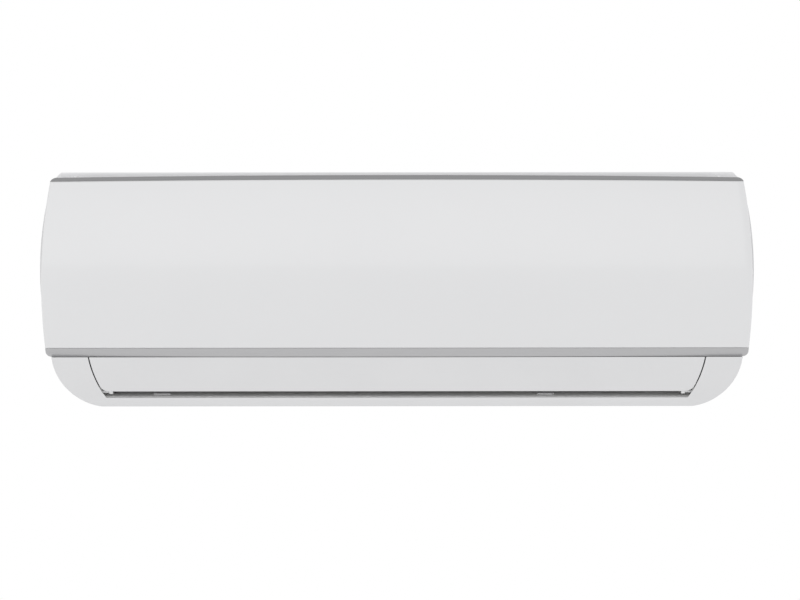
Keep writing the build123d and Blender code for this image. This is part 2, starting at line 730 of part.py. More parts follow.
def cross_bend(first, second, x):
    """Short U outside the right-hand end plate, from one hairpin to the next."""
    a = Vector(x, -first.X, first.Y)
    b = Vector(x + BEND_REACH, -first.X, first.Y)
    c = Vector(x + BEND_REACH, -second.X, second.Y)
    d = Vector(x, -second.X, second.Y)
    apex = (b + c) * 0.5 + Vector((c - b).length / 2, 0, 0)
    line = Wire([Line(a, b).edge(), ThreePointArc(b, apex, c).edge(), Line(c, d).edge()])
    return sweep(Plane(origin=a, z_dir=(1, 0, 0)) * Circle(TUBE_R), path=line)


# ---- fixed shell ------------------------------------------------------------------------------------------

def casing_solid(inset=0.0):
    """Outer form of the front casing, or the hollow inside it."""
    section = casing_section()
    if inset:
        section = offset(section, amount=-inset)
        section += rectangle(FLANGE_D - 1, FLANGE_D + 2 * inset, inset, HEIGHT - inset)
    return prism(section, -HALF, HALF) & plate(barrel(inset), 0, DEPTH)


def hinge_ear(x0):
    """Upright lug in the gutter that carries a hinge pin of the panel."""
    stem = rectangle(HINGE_D - EAR_R, HINGE_D + EAR_R, GUTTER_H - WALL / 2, HINGE_H)
    lug = prism(stem + Pos(HINGE_D, HINGE_H) * Circle(EAR_R), x0, x0 + EAR_T)
    return lug - rod(x0 - 1, x0 + EAR_T + 1, HINGE_D, HINGE_H, HINGE_PIN_R + RUNNING)


def ear_starts():
    """Left faces of the two hinge ears."""
    right = HALF - EAR_TUCK
    return [-right, right - EAR_T]


def front_casing():
    """Front casing: sides, top deck, face behind the panel, cheeks and lip round the outlet."""
    shell = casing_solid() - casing_solid(WALL)
    shell -= plate(outlet_outline(), BOTTOM_D, DEPTH)
    shell -= block(-BOTTOM_HALF - SEAT, BOTTOM_HALF + SEAT, 0, BOTTOM_D, -1, WALL + 1)
    window_top = GUTTER_H - WALL - WINDOW_DROP
    for x0, x1 in filter_spans():
        shell -= block(x0 + WINDOW_LAP, x1 - WINDOW_LAP, DECK_D + WALL, DEPTH, FILTER_FOOT_H + WINDOW_LAP, window_top)
    recess = GRILLE_LEDGE + SEAT
    shell -= block(-GRILLE_HALF, GRILLE_HALF, GRILLE_D0, GRILLE_D1, HEIGHT - WALL - 1, HEIGHT + 1)
    shell -= block(-GRILLE_HALF - recess, GRILLE_HALF + recess, GRILLE_D0 - recess, GRILLE_D1 + recess,
                   HEIGHT - GRILLE_T, HEIGHT + 1)
    for x0 in ear_starts():
        shell += hinge_ear(x0)
    for x in (-CATCH_X, CATCH_X):
        shell -= block(x - CATCH_W / 2 - CATCH_PLAY, x + CATCH_W / 2 + CATCH_PLAY, DECK_D, DEPTH,
                       CATCH_H - CATCH_T / 2 - CATCH_PLAY, CATCH_H + CATCH_T / 2 + CATCH_RISE)
    shell -= peg(BUTTON_X, BUTTON_H, BOX_D1, DEPTH, BUTTON_R + GAP)
    shell -= display_window(0.0)
    return shell


def display_window(play):
    """Block that cuts the display opening, or the lens with its play."""
    half_w = DISPLAY_W / 2 - play
    half_h = DISPLAY_TALL / 2 - play
    return block(DISPLAY_X - half_w, DISPLAY_X + half_w, BOX_D1, DEPTH, BUTTON_H - half_h, BUTTON_H + half_h)


def display_lens():
    """Smoked window filling the display opening, flush with the casing."""
    return (casing_solid() - casing_solid(WALL)) & display_window(SEAT)


def top_grille():
    """Inlet grille let into the top deck: long bars on cross ribs."""
    x_half = GRILLE_HALF + GRILLE_LEDGE
    d0 = GRILLE_D0 - GRILLE_LEDGE
    d1 = GRILLE_D1 + GRILLE_LEDGE
    sheet = block(-x_half, x_half, d0, d1, HEIGHT - GRILLE_T, HEIGHT)
    pitch = (2 * GRILLE_HALF + GRILLE_RIB) / GRILLE_CELLS
    step = GRILLE_SLOT + GRILLE_BAR
    rows = int((GRILLE_D1 - GRILLE_D0 + GRILLE_BAR) / step)
    first = (GRILLE_D0 + GRILLE_D1 - rows * step + GRILLE_BAR) / 2
    cuts = []
    for i in range(GRILLE_CELLS):
        x0 = -GRILLE_HALF + i * pitch
        for j in range(rows):
            y0 = first + j * step
            cuts.append(rectangle(x0, x0 + pitch - GRILLE_RIB, y0, y0 + GRILLE_SLOT))
    deck = Plane(origin=(0, 0, HEIGHT - GRILLE_T - 1), x_dir=(1, 0, 0), z_dir=(0, 0, 1))
    openings = [extrude(deck * mirror(cut, about=Plane.XZ), amount=GRILLE_T + 2) for cut in cuts]
    return sheet - openings


def end_wall_outline():
    """Side view of the wall that closes the duct and the scroll on the left."""
    face_d = DEPTH - LEDGE_BACK
    return polygon(
        (BACK_D + BACK_T / 2, CHANNEL_TOP_H + WALL / 2), (CHANNEL_D + WALL / 2, CHANNEL_TOP_H + WALL / 2),
        (CHANNEL_D + WALL / 2, WALL + 0.4), (LIP_D - 17.5, WALL + 0.4), (LIP_D - 7.5, LIP_H - 1.6), (LIP_D + 3, PIVOT_H),
        (face_d - 13, LOUVER_MID_H + 4.6), (face_d - 11, LEDGE_H - 1.8), (face_d - 15, LEDGE_H + 2.2),
        (face_d - 15, PAN_RIM_H), (TONGUE_D, PAN_RIM_H), (TONGUE_D - 20, TROUGH_H + TROUGH_TALL),
        (BACK_D + BACK_T / 2, TROUGH_H + TROUGH_TALL),
    )


def duct_side_outline():
    """Side view of the duct's right-hand wall, ahead of the motor."""
    ahead = rectangle(DUCT_SIDE_D, DEPTH, 0, BAY_FLOOR_H + WALL)
    behind_pan = rectangle(TONGUE_D, DEPTH, 0, PAN_RIM_H)
    return end_wall_outline() & (ahead + behind_pan)


def scroll_outline():
    """Side view of the scroll behind and below the fan and of the duct floor."""
    rear = FAN_D - SCROLL_REAR
    under = floor_point(FAN_D)
    lip = floor_point(FLOOR_FRONT.X)
    under_back = floor_point(FAN_D, -SCROLL_T)
    lip_back = floor_point(FLOOR_FRONT.X, -SCROLL_T)
    diag = SCROLL_DIAG / ROOT2
    diag_back = (SCROLL_DIAG + SCROLL_T) / ROOT2
    inner = [
        Line((rear, TROUGH_H + 1), (rear, FAN_H)),
        ThreePointArc((rear, FAN_H), (FAN_D - diag, FAN_H - diag), under),
        Line(under, lip),
    ]
    outer = [
        Line((rear - SCROLL_T, TROUGH_H + 1), (rear - SCROLL_T, FAN_H)),
        ThreePointArc((rear - SCROLL_T, FAN_H), (FAN_D - diag_back, FAN_H - diag_back), under_back),
        Line(under_back, lip_back),
    ]
    return band(inner, outer)


def cradle_outline():
    """Side view of a rib that carries the fan motor."""
    top = FAN_H - 2
    rib = polygon((BACK_D + BACK_T / 2, CHANNEL_TOP_H), (CHANNEL_D, CHANNEL_TOP_H),
                  (FAN_D + MOTOR_R + 3, FAN_H - MOTOR_R - 6), (FAN_D + MOTOR_R + 4, top), (BACK_D + BACK_T / 2, top))
    return rib - Pos(FAN_D, FAN_H) * Circle(MOTOR_R + SEAT)


def cradle_starts():
    """Left faces of the two cradle ribs."""
    return [MOTOR_X0 + CRADLE_INSET, MOTOR_X0 + MOTOR_L - CRADLE_INSET - CRADLE_T]


def screw_spots():
    """Places across the outlet where screws join the base and the casing."""
    return [CAP_LEFT_X, CAP_RIGHT_X]


def rear_base():
    """Rear base: rim, back wall, pipe channel, scroll, duct floor, end walls and motor cradle."""
    base = plate(barrel(), RIM_D, FLANGE_D) - plate(barrel(WALL), 0, DEPTH)
    base += plate(barrel(WALL), BACK_D, BACK_D + BACK_T) - block(-HALF, HALF, 0, DEPTH, 0, CHANNEL_TOP_H)
    inner = plate(barrel(WALL + SEAT), 0, DEPTH)
    base += block(-HALF, HALF, BACK_D, CHANNEL_D + WALL, CHANNEL_TOP_H, CHANNEL_TOP_H + WALL) & inner
    base += block(-HALF, HALF, CHANNEL_D, CHANNEL_D + WALL, WALL / 2, CHANNEL_TOP_H + WALL) & inner
    base += block(-BOTTOM_HALF, BOTTOM_HALF, CHANNEL_D, BOTTOM_D - SEAT, 0, WALL)
    base += block(-BOTTOM_HALF, BOTTOM_HALF, CHANNEL_D, CHANNEL_D + WALL, WALL / 2, 2 * WALL)
    base += prism(scroll_outline(), -DUCT_HALF - DUCT_WALL, PARTITION_X + DUCT_WALL)
    base += prism(scroll_outline() & rectangle(DUCT_SIDE_D, DEPTH, 0, FAN_H), PARTITION_X, DUCT_HALF + DUCT_WALL)
    base += block(-DUCT_HALF - 1, PARTITION_X + 1, BACK_D + 1, TROUGH_D, TROUGH_H, TROUGH_H + WALL)
    base += block(-DUCT_HALF - 1, PARTITION_X + 1, TROUGH_D - WALL, TROUGH_D, TROUGH_H, TROUGH_H + TROUGH_TALL)
    left = prism(end_wall_outline(), -DUCT_HALF - DUCT_WALL, -DUCT_HALF)
    base += left - rod(-HALF, 0, FAN_D, FAN_H, BEARING_R + SEAT)
    scroll_side = end_wall_outline() & (rectangle(0, DUCT_SIDE_D, 0, HEIGHT)
                                        + rectangle(0, TONGUE_D - 3, BAY_FLOOR_H, HEIGHT))
    base += prism(scroll_side, PARTITION_X, PARTITION_X + DUCT_WALL) - rod(0, HALF, FAN_D, FAN_H, HUB_R + 4)
    base += prism(duct_side_outline(), DUCT_HALF, DUCT_HALF + DUCT_WALL)
    bay_floor = rectangle(DUCT_SIDE_D, TONGUE_D - GAP, BAY_FLOOR_H, BAY_FLOOR_H + WALL)
    bay_wall = rectangle(DUCT_SIDE_D, DUCT_SIDE_D + WALL, floor_point(DUCT_SIDE_D).Y - 1, BAY_FLOOR_H + WALL)
    bay_riser = rectangle(TONGUE_D - GAP - WALL, TONGUE_D - GAP, BAY_FLOOR_H, PAN_RIM_H - 6)
    base += prism(bay_floor + bay_wall + bay_riser, PARTITION_X, DUCT_HALF + DUCT_WALL)
    for x0 in cradle_starts():
        base += prism(cradle_outline(), x0, x0 + CRADLE_T)
    for x in screw_spots():
        boss = on_floor(x, CAP_D) * Pos(0, 0, -BOSS_T - SCROLL_T) * Box(
            CAP_L, CAP_W, BOSS_T + SCROLL_T - 0.1, align=(Align.CENTER, Align.CENTER, Align.MIN))
        base += boss
        base -= on_floor(x, CAP_D) * Pos(0, 0, -20) * extrude(Circle(SCREW_R), amount=30)
        base -= on_floor(x, CAP_D) * Pos(0, 0, -SCREW_HEAD_T - SEAT) * extrude(Circle(SCREW_HEAD_R + SEAT), amount=10)
    for x in (-1, 1):
        base -= rod(min(0, x * HALF), max(0, x * HALF), LOUVER_D, PIVOT_H, LOUVER_PIN_R + RUNNING)
    base -= block(SUCTION_X - PIPE_SLOT, LIQUID_X + PIPE_SLOT, BACK_D + BACK_T, CHANNEL_D - 1,
                  CHANNEL_TOP_H - 1, CHANNEL_TOP_H + WALL + 1)
    for x in (-HOOK_X, HOOK_X):
        base -= block(x - HOOK_W / 2 - 2, x + HOOK_W / 2 + 2, BACK_D - 1, BACK_D + BACK_T + 1, HOOK_H - 2, HOOK_H + HOOK_SLOT)
    base -= rod(0, HALF, DRAIN_D, DRAIN_H, PLUG_HEAD_R + SEAT)
    spigot = peg(SPIGOT_X, SPIGOT_H, CHANNEL_D - SPIGOT_L, CHANNEL_D + WALL / 2, SPIGOT_R)
    base += spigot
    base -= peg(SPIGOT_X, SPIGOT_H, 0, CHANNEL_D + WALL + 1, SPIGOT_R - 2)
    pivots = [x for x, _ in vane_places()]
    for x in pivots:
        base -= on_floor(x, VANE_D) * Pos(0, 0, -10) * extrude(Circle(VANE_PIN_R + RUNNING), amount=12)
    return base


def drain_pan():
    """Tray under the front coil; its underside is the duct's ceiling and the fan's tongue."""
    front = DEPTH - PAN_FRONT_BACK
    section = polygon(
        (TONGUE_D, TONGUE_TOP_H), (TONGUE_D, PAN_FLOOR_H + 1), (front - 4, CEILING_H), (front, CEILING_H),
        (front, PAN_RIM_H), (front - PAN_T, PAN_RIM_H), (front - PAN_T, PAN_FLOOR_H - 1),
        (TONGUE_D + TONGUE_T, PAN_FLOOR_H + PAN_T), (TONGUE_D + TONGUE_T, TONGUE_TOP_H))
    half = DUCT_HALF - GAP
    pan = prism(section, -half, half)
    end = rectangle(TONGUE_D + 1, front - 1, PAN_FLOOR_H - 3, PAN_RIM_H)
    pan += prism(end, -half, -half + PAN_T) + prism(end, half - PAN_T, half)
    step = (COIL_X1 - COIL_X0 - 2 * PAN_RIB_INSET) / (PAN_RIBS - 1)
    for i in range(PAN_RIBS):
        x = COIL_X0 + PAN_RIB_INSET + i * step
        pan += block(x - PAN_RIB_T / 2, x + PAN_RIB_T / 2, SLAB_FRONT_D - PAN_RIB_L / 2, SLAB_FRONT_D + PAN_RIB_L / 2,
                     PAN_FLOOR_H - 1, SLAB_FOOT_H)
    return pan - rod(0, half + 1, DRAIN_D, DRAIN_H, PLUG_R)


def drain_plug():
    """Rubber plug in the unused drain port."""
    half = DUCT_HALF - GAP
    plug = rod(half - PAN_T - 1, half, DRAIN_D, DRAIN_H, PLUG_R)
    return plug + rod(half, half + PLUG_HEAD_L, DRAIN_D, DRAIN_H, PLUG_HEAD_R)


# ---- fan, bearing and motor ----------------------------------------------------------------------------

def fan_drum():
    """Cross-flow drum: discs joined by forward-curved blades."""
    ring = Circle(FAN_R) - Circle(FAN_R - BLADE_DEPTH - 2)
    end = Circle(FAN_R) - Circle(SHAFT_R)
    pitch = (FAN_X1 - FAN_X0 - DISC_T) / (DISCS - 1)
    solids = []
    for i in range(DISCS):
        x0 = FAN_X0 + i * pitch
        face = end if i in (0, DISCS - 1) else ring
        solids.append(prism(Pos(FAN_D, FAN_H) * face, x0, x0 + DISC_T))
    hub = Circle(HUB_R) - Circle(SHAFT_R)
    solids.append(prism(Pos(FAN_D, FAN_H) * hub, FAN_X1 - 1, FAN_X1 + 3))
    mid_r = FAN_R - BLADE_DEPTH / 2 - 0.5
    outer = Pos(0, 3) * Circle(BLADE_DEPTH * 0.75)
    inner = Pos(0, 3) * Circle(BLADE_DEPTH * 0.75 - BLADE_T)
    blade = (outer - inner) & rectangle(-BLADE_DEPTH / 2, BLADE_DEPTH / 2, -BLADE_DEPTH, -1)
    faces = [Pos(FAN_D, FAN_H) * (Rot(0, 0, i * 360 / BLADES) * (Pos(mid_r, 0) * blade)) for i in range(BLADES)]
    solids += [prism(face, FAN_X0 + DISC_T / 2, FAN_X1 - DISC_T / 2) for face in faces]
    return solids[0].fuse(*solids[1:])


def fan_shaft():
    """Steel shaft: a stub in the left bearing and the motor's shaft in the right hub."""
    stub = rod(-DUCT_HALF - DUCT_WALL, FAN_X0 + DISC_T, FAN_D, FAN_H, SHAFT_R)
    drive = rod(FAN_X1 - DISC_T - 16, MOTOR_X0 + 4, FAN_D, FAN_H, SHAFT_R)
    return stub + drive


def fan_bearing():
    """Rubber bearing of the fan's left end, in the base's left wall."""
    bush = rod(-DUCT_HALF - DUCT_WALL, -DUCT_HALF, FAN_D, FAN_H, BEARING_R)
    return bush - rod(-HALF, 0, FAN_D, FAN_H, SHAFT_R + RUNNING / 2)


def fan_motor():
    """Resin-moulded motor with stepped end bells and a bearing nose."""
    x1 = MOTOR_X0 + MOTOR_L
    body = rod(MOTOR_X0 + 4, x1 - 4, FAN_D, FAN_H, MOTOR_R)
    body += rod(MOTOR_X0, MOTOR_X0 + 4, FAN_D, FAN_H, MOTOR_R - 6)
    body += rod(x1 - 4, x1, FAN_D, FAN_H, MOTOR_R - 6)
    return body - rod(MOTOR_X0 - 1, MOTOR_X0 + 5, FAN_D, FAN_H, SHAFT_R + RUNNING / 2)


def motor_strap():
    """Half-round strap that holds the motor down on its cradle."""
    x0, x1 = cradle_starts()
    top = Circle(MOTOR_R + SEAT + STRAP_T) - Circle(MOTOR_R + SEAT)
    half = rectangle(-MOTOR_R * 2, MOTOR_R * 2, 0, MOTOR_R * 2)
    strap = prism(Pos(FAN_D, FAN_H) * (top & half), x0, x1 + CRADLE_T)
    reach = MOTOR_R + SEAT + 1
    for low, high in ((-reach - 8, -reach), (reach, reach + 3)):
        strap += block(x0, x1 + CRADLE_T, FAN_D + low, FAN_D + high, FAN_H - 2, FAN_H + 1)
    return strap


# ---- coil ------------------------------------------------------------------------------------------------

def coil_slab(name):
    """Fin pack of one coil slab with its tube holes."""
    slab = prism(slab_face(name), COIL_X0, COIL_X1)
    holes = []
    for row in slab_tubes(name):
        holes += [rod(COIL_X0 - 1, COIL_X1 + 1, c.X, c.Y, TUBE_R + TUBE_PLAY) for c in row]
    return slab - holes


def end_plates():
    """Sheet end plates that tie the three slabs together."""
    outline = slab_face("lower", END_PLATE_RIM)
    for name in ("upper", "rear"):
        outline += slab_face(name, END_PLATE_RIM)
    for name in SLABS:
        for row in slab_tubes(name):
            for c in row:
                outline -= Pos(c.X, c.Y) * Circle(TUBE_R + TUBE_PLAY)
    left = prism(outline, COIL_X0 - END_PLATE_T, COIL_X0)
    right = prism(outline, COIL_X1, COIL_X1 + END_PLATE_T)
    return [left, right]


def hairpins():
    """Copper hairpins threaded through the fins, their bends on the left."""
    x0 = COIL_X0 - END_PLATE_T - BEND_REACH
    x1 = COIL_X1 + END_PLATE_T
    tubes = []
    for name in SLABS:
        for row in slab_tubes(name):
            tubes += [hairpin(row[i], row[i + 1], x0, x1) for i in range(0, len(row), 2)]
    return tubes


def return_bends():
    """Short bends on the right, joining each hairpin to the next."""
    bends = []
    for name in SLABS:
        for row in slab_tubes(name):
            bends += [cross_bend(row[i], row[i + 1], COIL_X1 + END_PLATE_T) for i in range(1, len(row) - 1, 2)]
        first, second = slab_tubes(name)
        bends.append(cross_bend(first[-1], second[-1], COIL_X1 + END_PLATE_T))
    return bends


# ---- filters -----------------------------------------------------------------------------------------------

def filter_frame(x0, x1):
    """Flexible filter frame, bent over the coil, with ribs and a finger tab."""
    sheet = band(filter_path(0), filter_path(FRAME_T))
    frame = prism(sheet, x0, x0 + FRAME_W) + prism(sheet, x1 - FRAME_W, x1)
    step = (x1 - x0 - FRAME_W) / (FRAME_RIBS - 1)
    for i in range(1, FRAME_RIBS - 1):
        frame += prism(sheet, x0 + i * step, x0 + i * step + RIB_W)
    foot = FILTER_FOOT_H
    for h in (foot + FRAME_W / 2, foot + FRAME_BAR_1, foot + FRAME_BAR_2, FILTER_BEND_H - RIB_W):
        half = FRAME_W / 2 if h < foot + FRAME_W else RIB_W / 2
        frame += prism(sheet & rectangle(0, DEPTH, h - half, h + half), x0, x1)
    slope = filter_path(0)[2]
    tail = slope @ 1
    for d in (tail.X + 40, tail.X + 4, tail.X - 34):
        frame += prism(sheet & rectangle(d - 1, d + 1, FILTER_BEND_H + 10, HEIGHT), x0, x1)
    end = (filter_path(0)[4] @ 1).X
    frame += prism(sheet & rectangle(end, end + FRAME_W, FILTER_BEND_H, HEIGHT), x0, x1)
    middle = (x0 + x1) / 2
    tab = block(middle - TAB_W / 2, middle + TAB_W / 2, FILTER_D - 1, FILTER_D + TAB_REACH,
                foot + FRAME_W, foot + FRAME_W + TAB_T)
    return frame + tab


def filter_mesh(x0, x1):
    """Net on the inner side of a filter frame."""
    return prism(band(filter_path(FRAME_T), filter_path(FILTER_T)), x0 + 2, x1 - 2)


def filter_rack():
    """Tracks behind the filters, with cross bars, joined to the casing between the windows."""
    inner = FILTER_T + GAP
    track = band(filter_path(inner), filter_path(inner + TRACK_T))
    spans = filter_spans()
    left, right = spans[0][0], spans[1][1]
    middle = (left + right) / 2
    rails = [(left - 8, left + 6), (middle - MULLION / 2 - 6, middle + MULLION / 2 + 6), (right - 6, right + 8)]
    rack = [prism(track, a, b) for a, b in rails]
    bars = [track & rectangle(0, DEPTH, h - 1.5, h + 1.5) for h in (FILTER_FOOT_H + 2, 150, 186, FILTER_BEND_H - 1)]
    end = (filter_path(inner)[4] @ 1).X
    bars.append(track & rectangle(end, end + 4, FILTER_BEND_H, HEIGHT))
    rack += [prism(bar, left - 8, right + 8) for bar in bars]
    solid = rack[0].fuse(*rack[1:])
    hollow = casing_solid(WALL)
    webs = [(left - 8, left - FILTER_PLAY), (middle - 3, middle + 3), (right + FILTER_PLAY, right + 8)]
    for a, b in webs:
        web = block(a, b, FILTER_D - inner - TRACK_T, DEPTH, FILTER_FOOT_H, FILTER_BEND_H)
        solid += web & hollow
    sill = block(left - 8, right + 8, FILTER_D - inner - TRACK_T, case_front(FILTER_FOOT_H) - WALL,
                 FILTER_FOOT_H - GAP - 1.6, FILTER_FOOT_H - GAP)
    kerb = block(left - 8, right + 8, FILTER_D - inner - TRACK_T, FILTER_D - inner,
                 FILTER_FOOT_H - GAP - 1.6, FILTER_FOOT_H + 1)
    return solid + kerb + (sill & hollow)


# ---- louver -------------------------------------------------------------------------------------------------

def louver():
    """Louver blade with lugs at both ends and a stiffening spine behind it."""
    section = band([face_arc()], [face_arc(LOUVER_T)])
    blade = prism(section, -HALF, HALF) & plate(louver_outline(), 0, DEPTH)
    half = DUCT_HALF - LUG_INSET
    root = Vector(LOUVER_D, PIVOT_H)
    slant = LUG_R / ROOT2
    tie = polygon(root + (-slant, slant), root + (slant, -slant), root + (LUG_REACH / 2, 2),
                  root + (LUG_REACH, LUG_RISE - 2), root + (LUG_REACH - 6, LUG_RISE))
    inside = polygon((0, 0), *[face_arc(LOUVER_T / 2) @ (i / 8) for i in range(9)], (0, LEDGE_H))
    lug = (Pos(LOUVER_D, PIVOT_H) * Circle(LUG_R) + tie) & inside
    spine = rectangle(LOUVER_D + LUG_R, DEPTH, PIVOT_H + SPINE_RISE, PIVOT_H + SPINE_RISE + LOUVER_T) & inside
    blade += prism(spine, -half + SPINE_INSET, half - SPINE_INSET)
    for x0 in (-half, half - LUG_T):
        blade += prism(lug, x0, x0 + LUG_T)
    blade += rod(-DUCT_HALF - DUCT_WALL - 1, -half + 1, LOUVER_D, PIVOT_H, LOUVER_PIN_R)
    blade += rod(half - 1, DUCT_HALF + DUCT_WALL + 1, LOUVER_D, PIVOT_H, LOUVER_PIN_R)
    bore_r = STEPPER_SHAFT_R + RUNNING / 2
    end = DUCT_HALF + DUCT_WALL + 1
    return blade - rod(end - STEPPER_SHAFT_L - 1, end + 1, LOUVER_D, PIVOT_H, bore_r)


def louver_motor():
    """Small stepper whose offset shaft drives the louver's right pin."""
    x0 = DUCT_HALF + DUCT_WALL + 1 + GAP
    body = rod(x0, x0 + STEPPER_L, LOUVER_D - STEPPER_OFF_D, PIVOT_H + STEPPER_OFF_H, STEPPER_R)
    body += rod(x0 - GAP - STEPPER_SHAFT_L, x0 + 1, LOUVER_D, PIVOT_H, STEPPER_SHAFT_R)
    rear = LOUVER_D - STEPPER_OFF_D - STEPPER_R
    tab = block(DUCT_HALF + DUCT_WALL, x0 + 1.5, rear - STEPPER_TAB, rear + STEPPER_TAB - 1,
                PIVOT_H - 2, PIVOT_H - 2 + 2 * STEPPER_TAB)
    return body + tab


# ---- front cover ---------------------------------------------------------------------------------------------

def cover_piece(h0, h1, depth):
    """Part of the bowed cover between two heights, as thick as the depth."""
    skin = bowed(band(cover_contour(0), cover_contour(depth)))
    cut = plate(cover_outline(), 0, DEPTH + 10) & block(-HALF, HALF, 0, DEPTH + 10, h0, h1)
    return skin & cut


def front_panel():
    """Front panel: bowed skin with a folded rim, hinge arms and catches."""
    h0, h1 = PANEL_FOOT_H, HEIGHT - PANEL_TOP_DROP
    panel = cover_piece(h0, h1, PANEL_RIM)
    hollow = bowed(band(cover_contour(PANEL_SKIN), cover_contour(PANEL_RIM + 2)))
    inner = plate(cover_outline(PANEL_SKIN), 0, DEPTH + 10)
    inner = inner & block(-HALF, HALF, 0, DEPTH + 10, h0 + PANEL_SKIN, h1 - PANEL_SKIN)
    panel -= hollow & inner
    top_h = h1 - GAP
    front_d = DEPTH - PANEL_TOP_BACK - BOW - 1
    for x0, side in zip(ear_starts(), (1, -1)):
        ear_mid = x0 + EAR_T / 2
        a = ear_mid + side * (EAR_T / 2 + GAP)
        b = a + side * ARM_T
        low, high = min(a, b), max(a, b)
        arm = Pos(HINGE_D, HINGE_H) * Circle(EAR_R)
        arm += rectangle(HINGE_D, front_d, HINGE_H - EAR_R, top_h)
        panel += prism(arm, low, high)
        tip = ear_mid - side * (EAR_T / 2 + 1)
        panel += rod(min(tip, a), max(tip, a), HINGE_D, HINGE_H, HINGE_PIN_R)
    for x in (-CATCH_X, CATCH_X):
        reach = case_front(CATCH_H) - CATCH_REACH
        back = DEPTH - PANEL_SKIN - BOW * (CATCH_X / HALF) ** 2 - 3
        panel += block(x - CATCH_W / 2, x + CATCH_W / 2, reach, back, CATCH_H - CATCH_T / 2, CATCH_H + CATCH_T / 2)
    return panel


# ---- vertical vanes ---------------------------------------------------------------------------------------------

def vane_places():
    """Pivot position across and group number of every vertical vane."""
    places = []
    for group, side in enumerate((-1, 1)):
        start = side * VANE_GROUP_X - (VANES - 1) * VANE_PITCH / 2
        places += [(start + i * VANE_PITCH, group) for i in range(VANES)]
    return places


VANE_LIFT = 0.5          # blade above the duct floor


def vane(x):
    """Vertical vane: blade, foot, pivot pin below and tie-bar peg above."""
    blade = Pos((VANE_FRONT - VANE_REAR) / 2, 0, (VANE_LIFT + VANE_TALL) / 2) * Box(
        VANE_FRONT + VANE_REAR, VANE_T, VANE_TALL - VANE_LIFT)
    foot = Pos(0, 0, VANE_LIFT) * extrude(Circle(VANE_FOOT_R), amount=1.5)
    pin = Pos(0, 0, -SCROLL_T) * extrude(Circle(VANE_PIN_R), amount=SCROLL_T + VANE_LIFT + 1)
    neck = Pos(CRANK, 0, VANE_TALL - 1) * extrude(Circle(PEG_R), amount=1 + GAP + BAR_T + GAP)
    head = Pos(CRANK, 0, VANE_TALL + 2 * GAP + BAR_T) * extrude(Circle(PEG_R + 1), amount=1)
    return on_floor(x, VANE_D) * (blade + foot + pin + neck + head)


def tie_bar(group):
    """Bar over one group's pegs."""
    xs = [x for x, g in vane_places() if g == group]
    length = xs[-1] - xs[0] + BAR_W
    bar = Pos(CRANK, (xs[-1] - xs[0]) / 2, VANE_TALL + GAP + BAR_T / 2) * Box(BAR_W, length, BAR_T)
    for x in xs:
        bar -= Pos(CRANK, x - xs[0], VANE_TALL - 1) * extrude(Circle(PEG_R + PEG_PLAY), amount=BAR_T + 4)
    return on_floor(xs[0], VANE_D) * bar


# ---- fastenings -----------------------------------------------------------------------------------------------------

def casing_screws():
    """Screws under the caps in the duct floor."""
    screws = []
    for x in screw_spots():
        tip = BOSS_T + SCROLL_T - 0.5
        under = SCREW_HEAD_T + SEAT
        shank = Pos(0, 0, -tip) * extrude(Circle(SCREW_R), amount=tip - under)
        head = Pos(0, 0, -under) * extrude(Circle(SCREW_HEAD_R), amount=SCREW_HEAD_T)
        screws.append(on_floor(x, CAP_D) * (shank + head))
    return screws


def screw_caps():
    """Small rectangular caps over the screws."""
    cap = extrude(Rectangle(CAP_L, CAP_W), amount=CAP_T)
    return [on_floor(x, CAP_D) * cap for x in screw_spots()]


# ---- electrics --------------------------------------------------------------------------------------------------------

def control_box():
    """Tray of the control box, open to the front."""
    tray = block(BOX_X0, BOX_X1, BOX_D0, BOX_D1 - BOX_T, BOX_H0, BOX_H1)
    tray -= block(BOX_X0 + BOX_T, BOX_X1 - BOX_T, BOX_D0 + BOX_T, BOX_D1, BOX_H0 + BOX_T, BOX_H1 - BOX_T)
    for x in (BOX_X0 + POST_INSET, BOX_X1 - POST_INSET):
        for h in (BOX_H0 + POST_RISE, BOX_H1 - POST_INSET):
            tray += peg(x, h, BOX_D0 + BOX_T / 2, BOX_D0 + BOX_T + POST_L, POST_R)
    left = BOX_X0 + BOX_FOOT_W
    foot = block(left, left + BOX_FOOT_W, BOX_D0 - 1, BOX_D0 + 1, BOX_H0 + 1, BOX_H0 + 5)
    return tray + foot


def control_box_cover():
    """Sheet cover of the control box."""
    return block(BOX_X0, BOX_X1, BOX_D1 - BOX_T, BOX_D1 - 0.5, BOX_H0, BOX_H1)


def circuit_board():
    """Main board with its larger components."""
    d0 = BOX_D0 + BOX_T + POST_L
    top = d0 + BOARD_T
    x0, x1 = BOX_X0 + BOARD_INSET, BOX_X1 - BOARD_INSET
    sunk = top - BOARD_T / 2
    low = BOX_H0 + BOARD_RISE
    high = BOX_H1 - BOARD_INSET
    board = block(x0, x1, d0, top, low, high)
    for left, wide, tall, drop, rise in CHIPS:
        board += block(x0 + left, x0 + left + wide, sunk, top + rise, high - drop - tall, high - drop)
    for i in range(CAPACITORS):
        board += peg(x0 + CAPACITOR_X + i * CAPACITOR_PITCH, low + CAPACITOR_RISE, sunk, top + CAPACITOR_L, CAPACITOR_R)
    for i in range(SOCKETS):
        left = x0 + SOCKET_X + i * SOCKET_PITCH
        board += block(left, left + SOCKET_W, sunk, top + SOCKET_T, low + SOCKET_RISE, low + SOCKET_RISE + SOCKET_TALL)
    return board


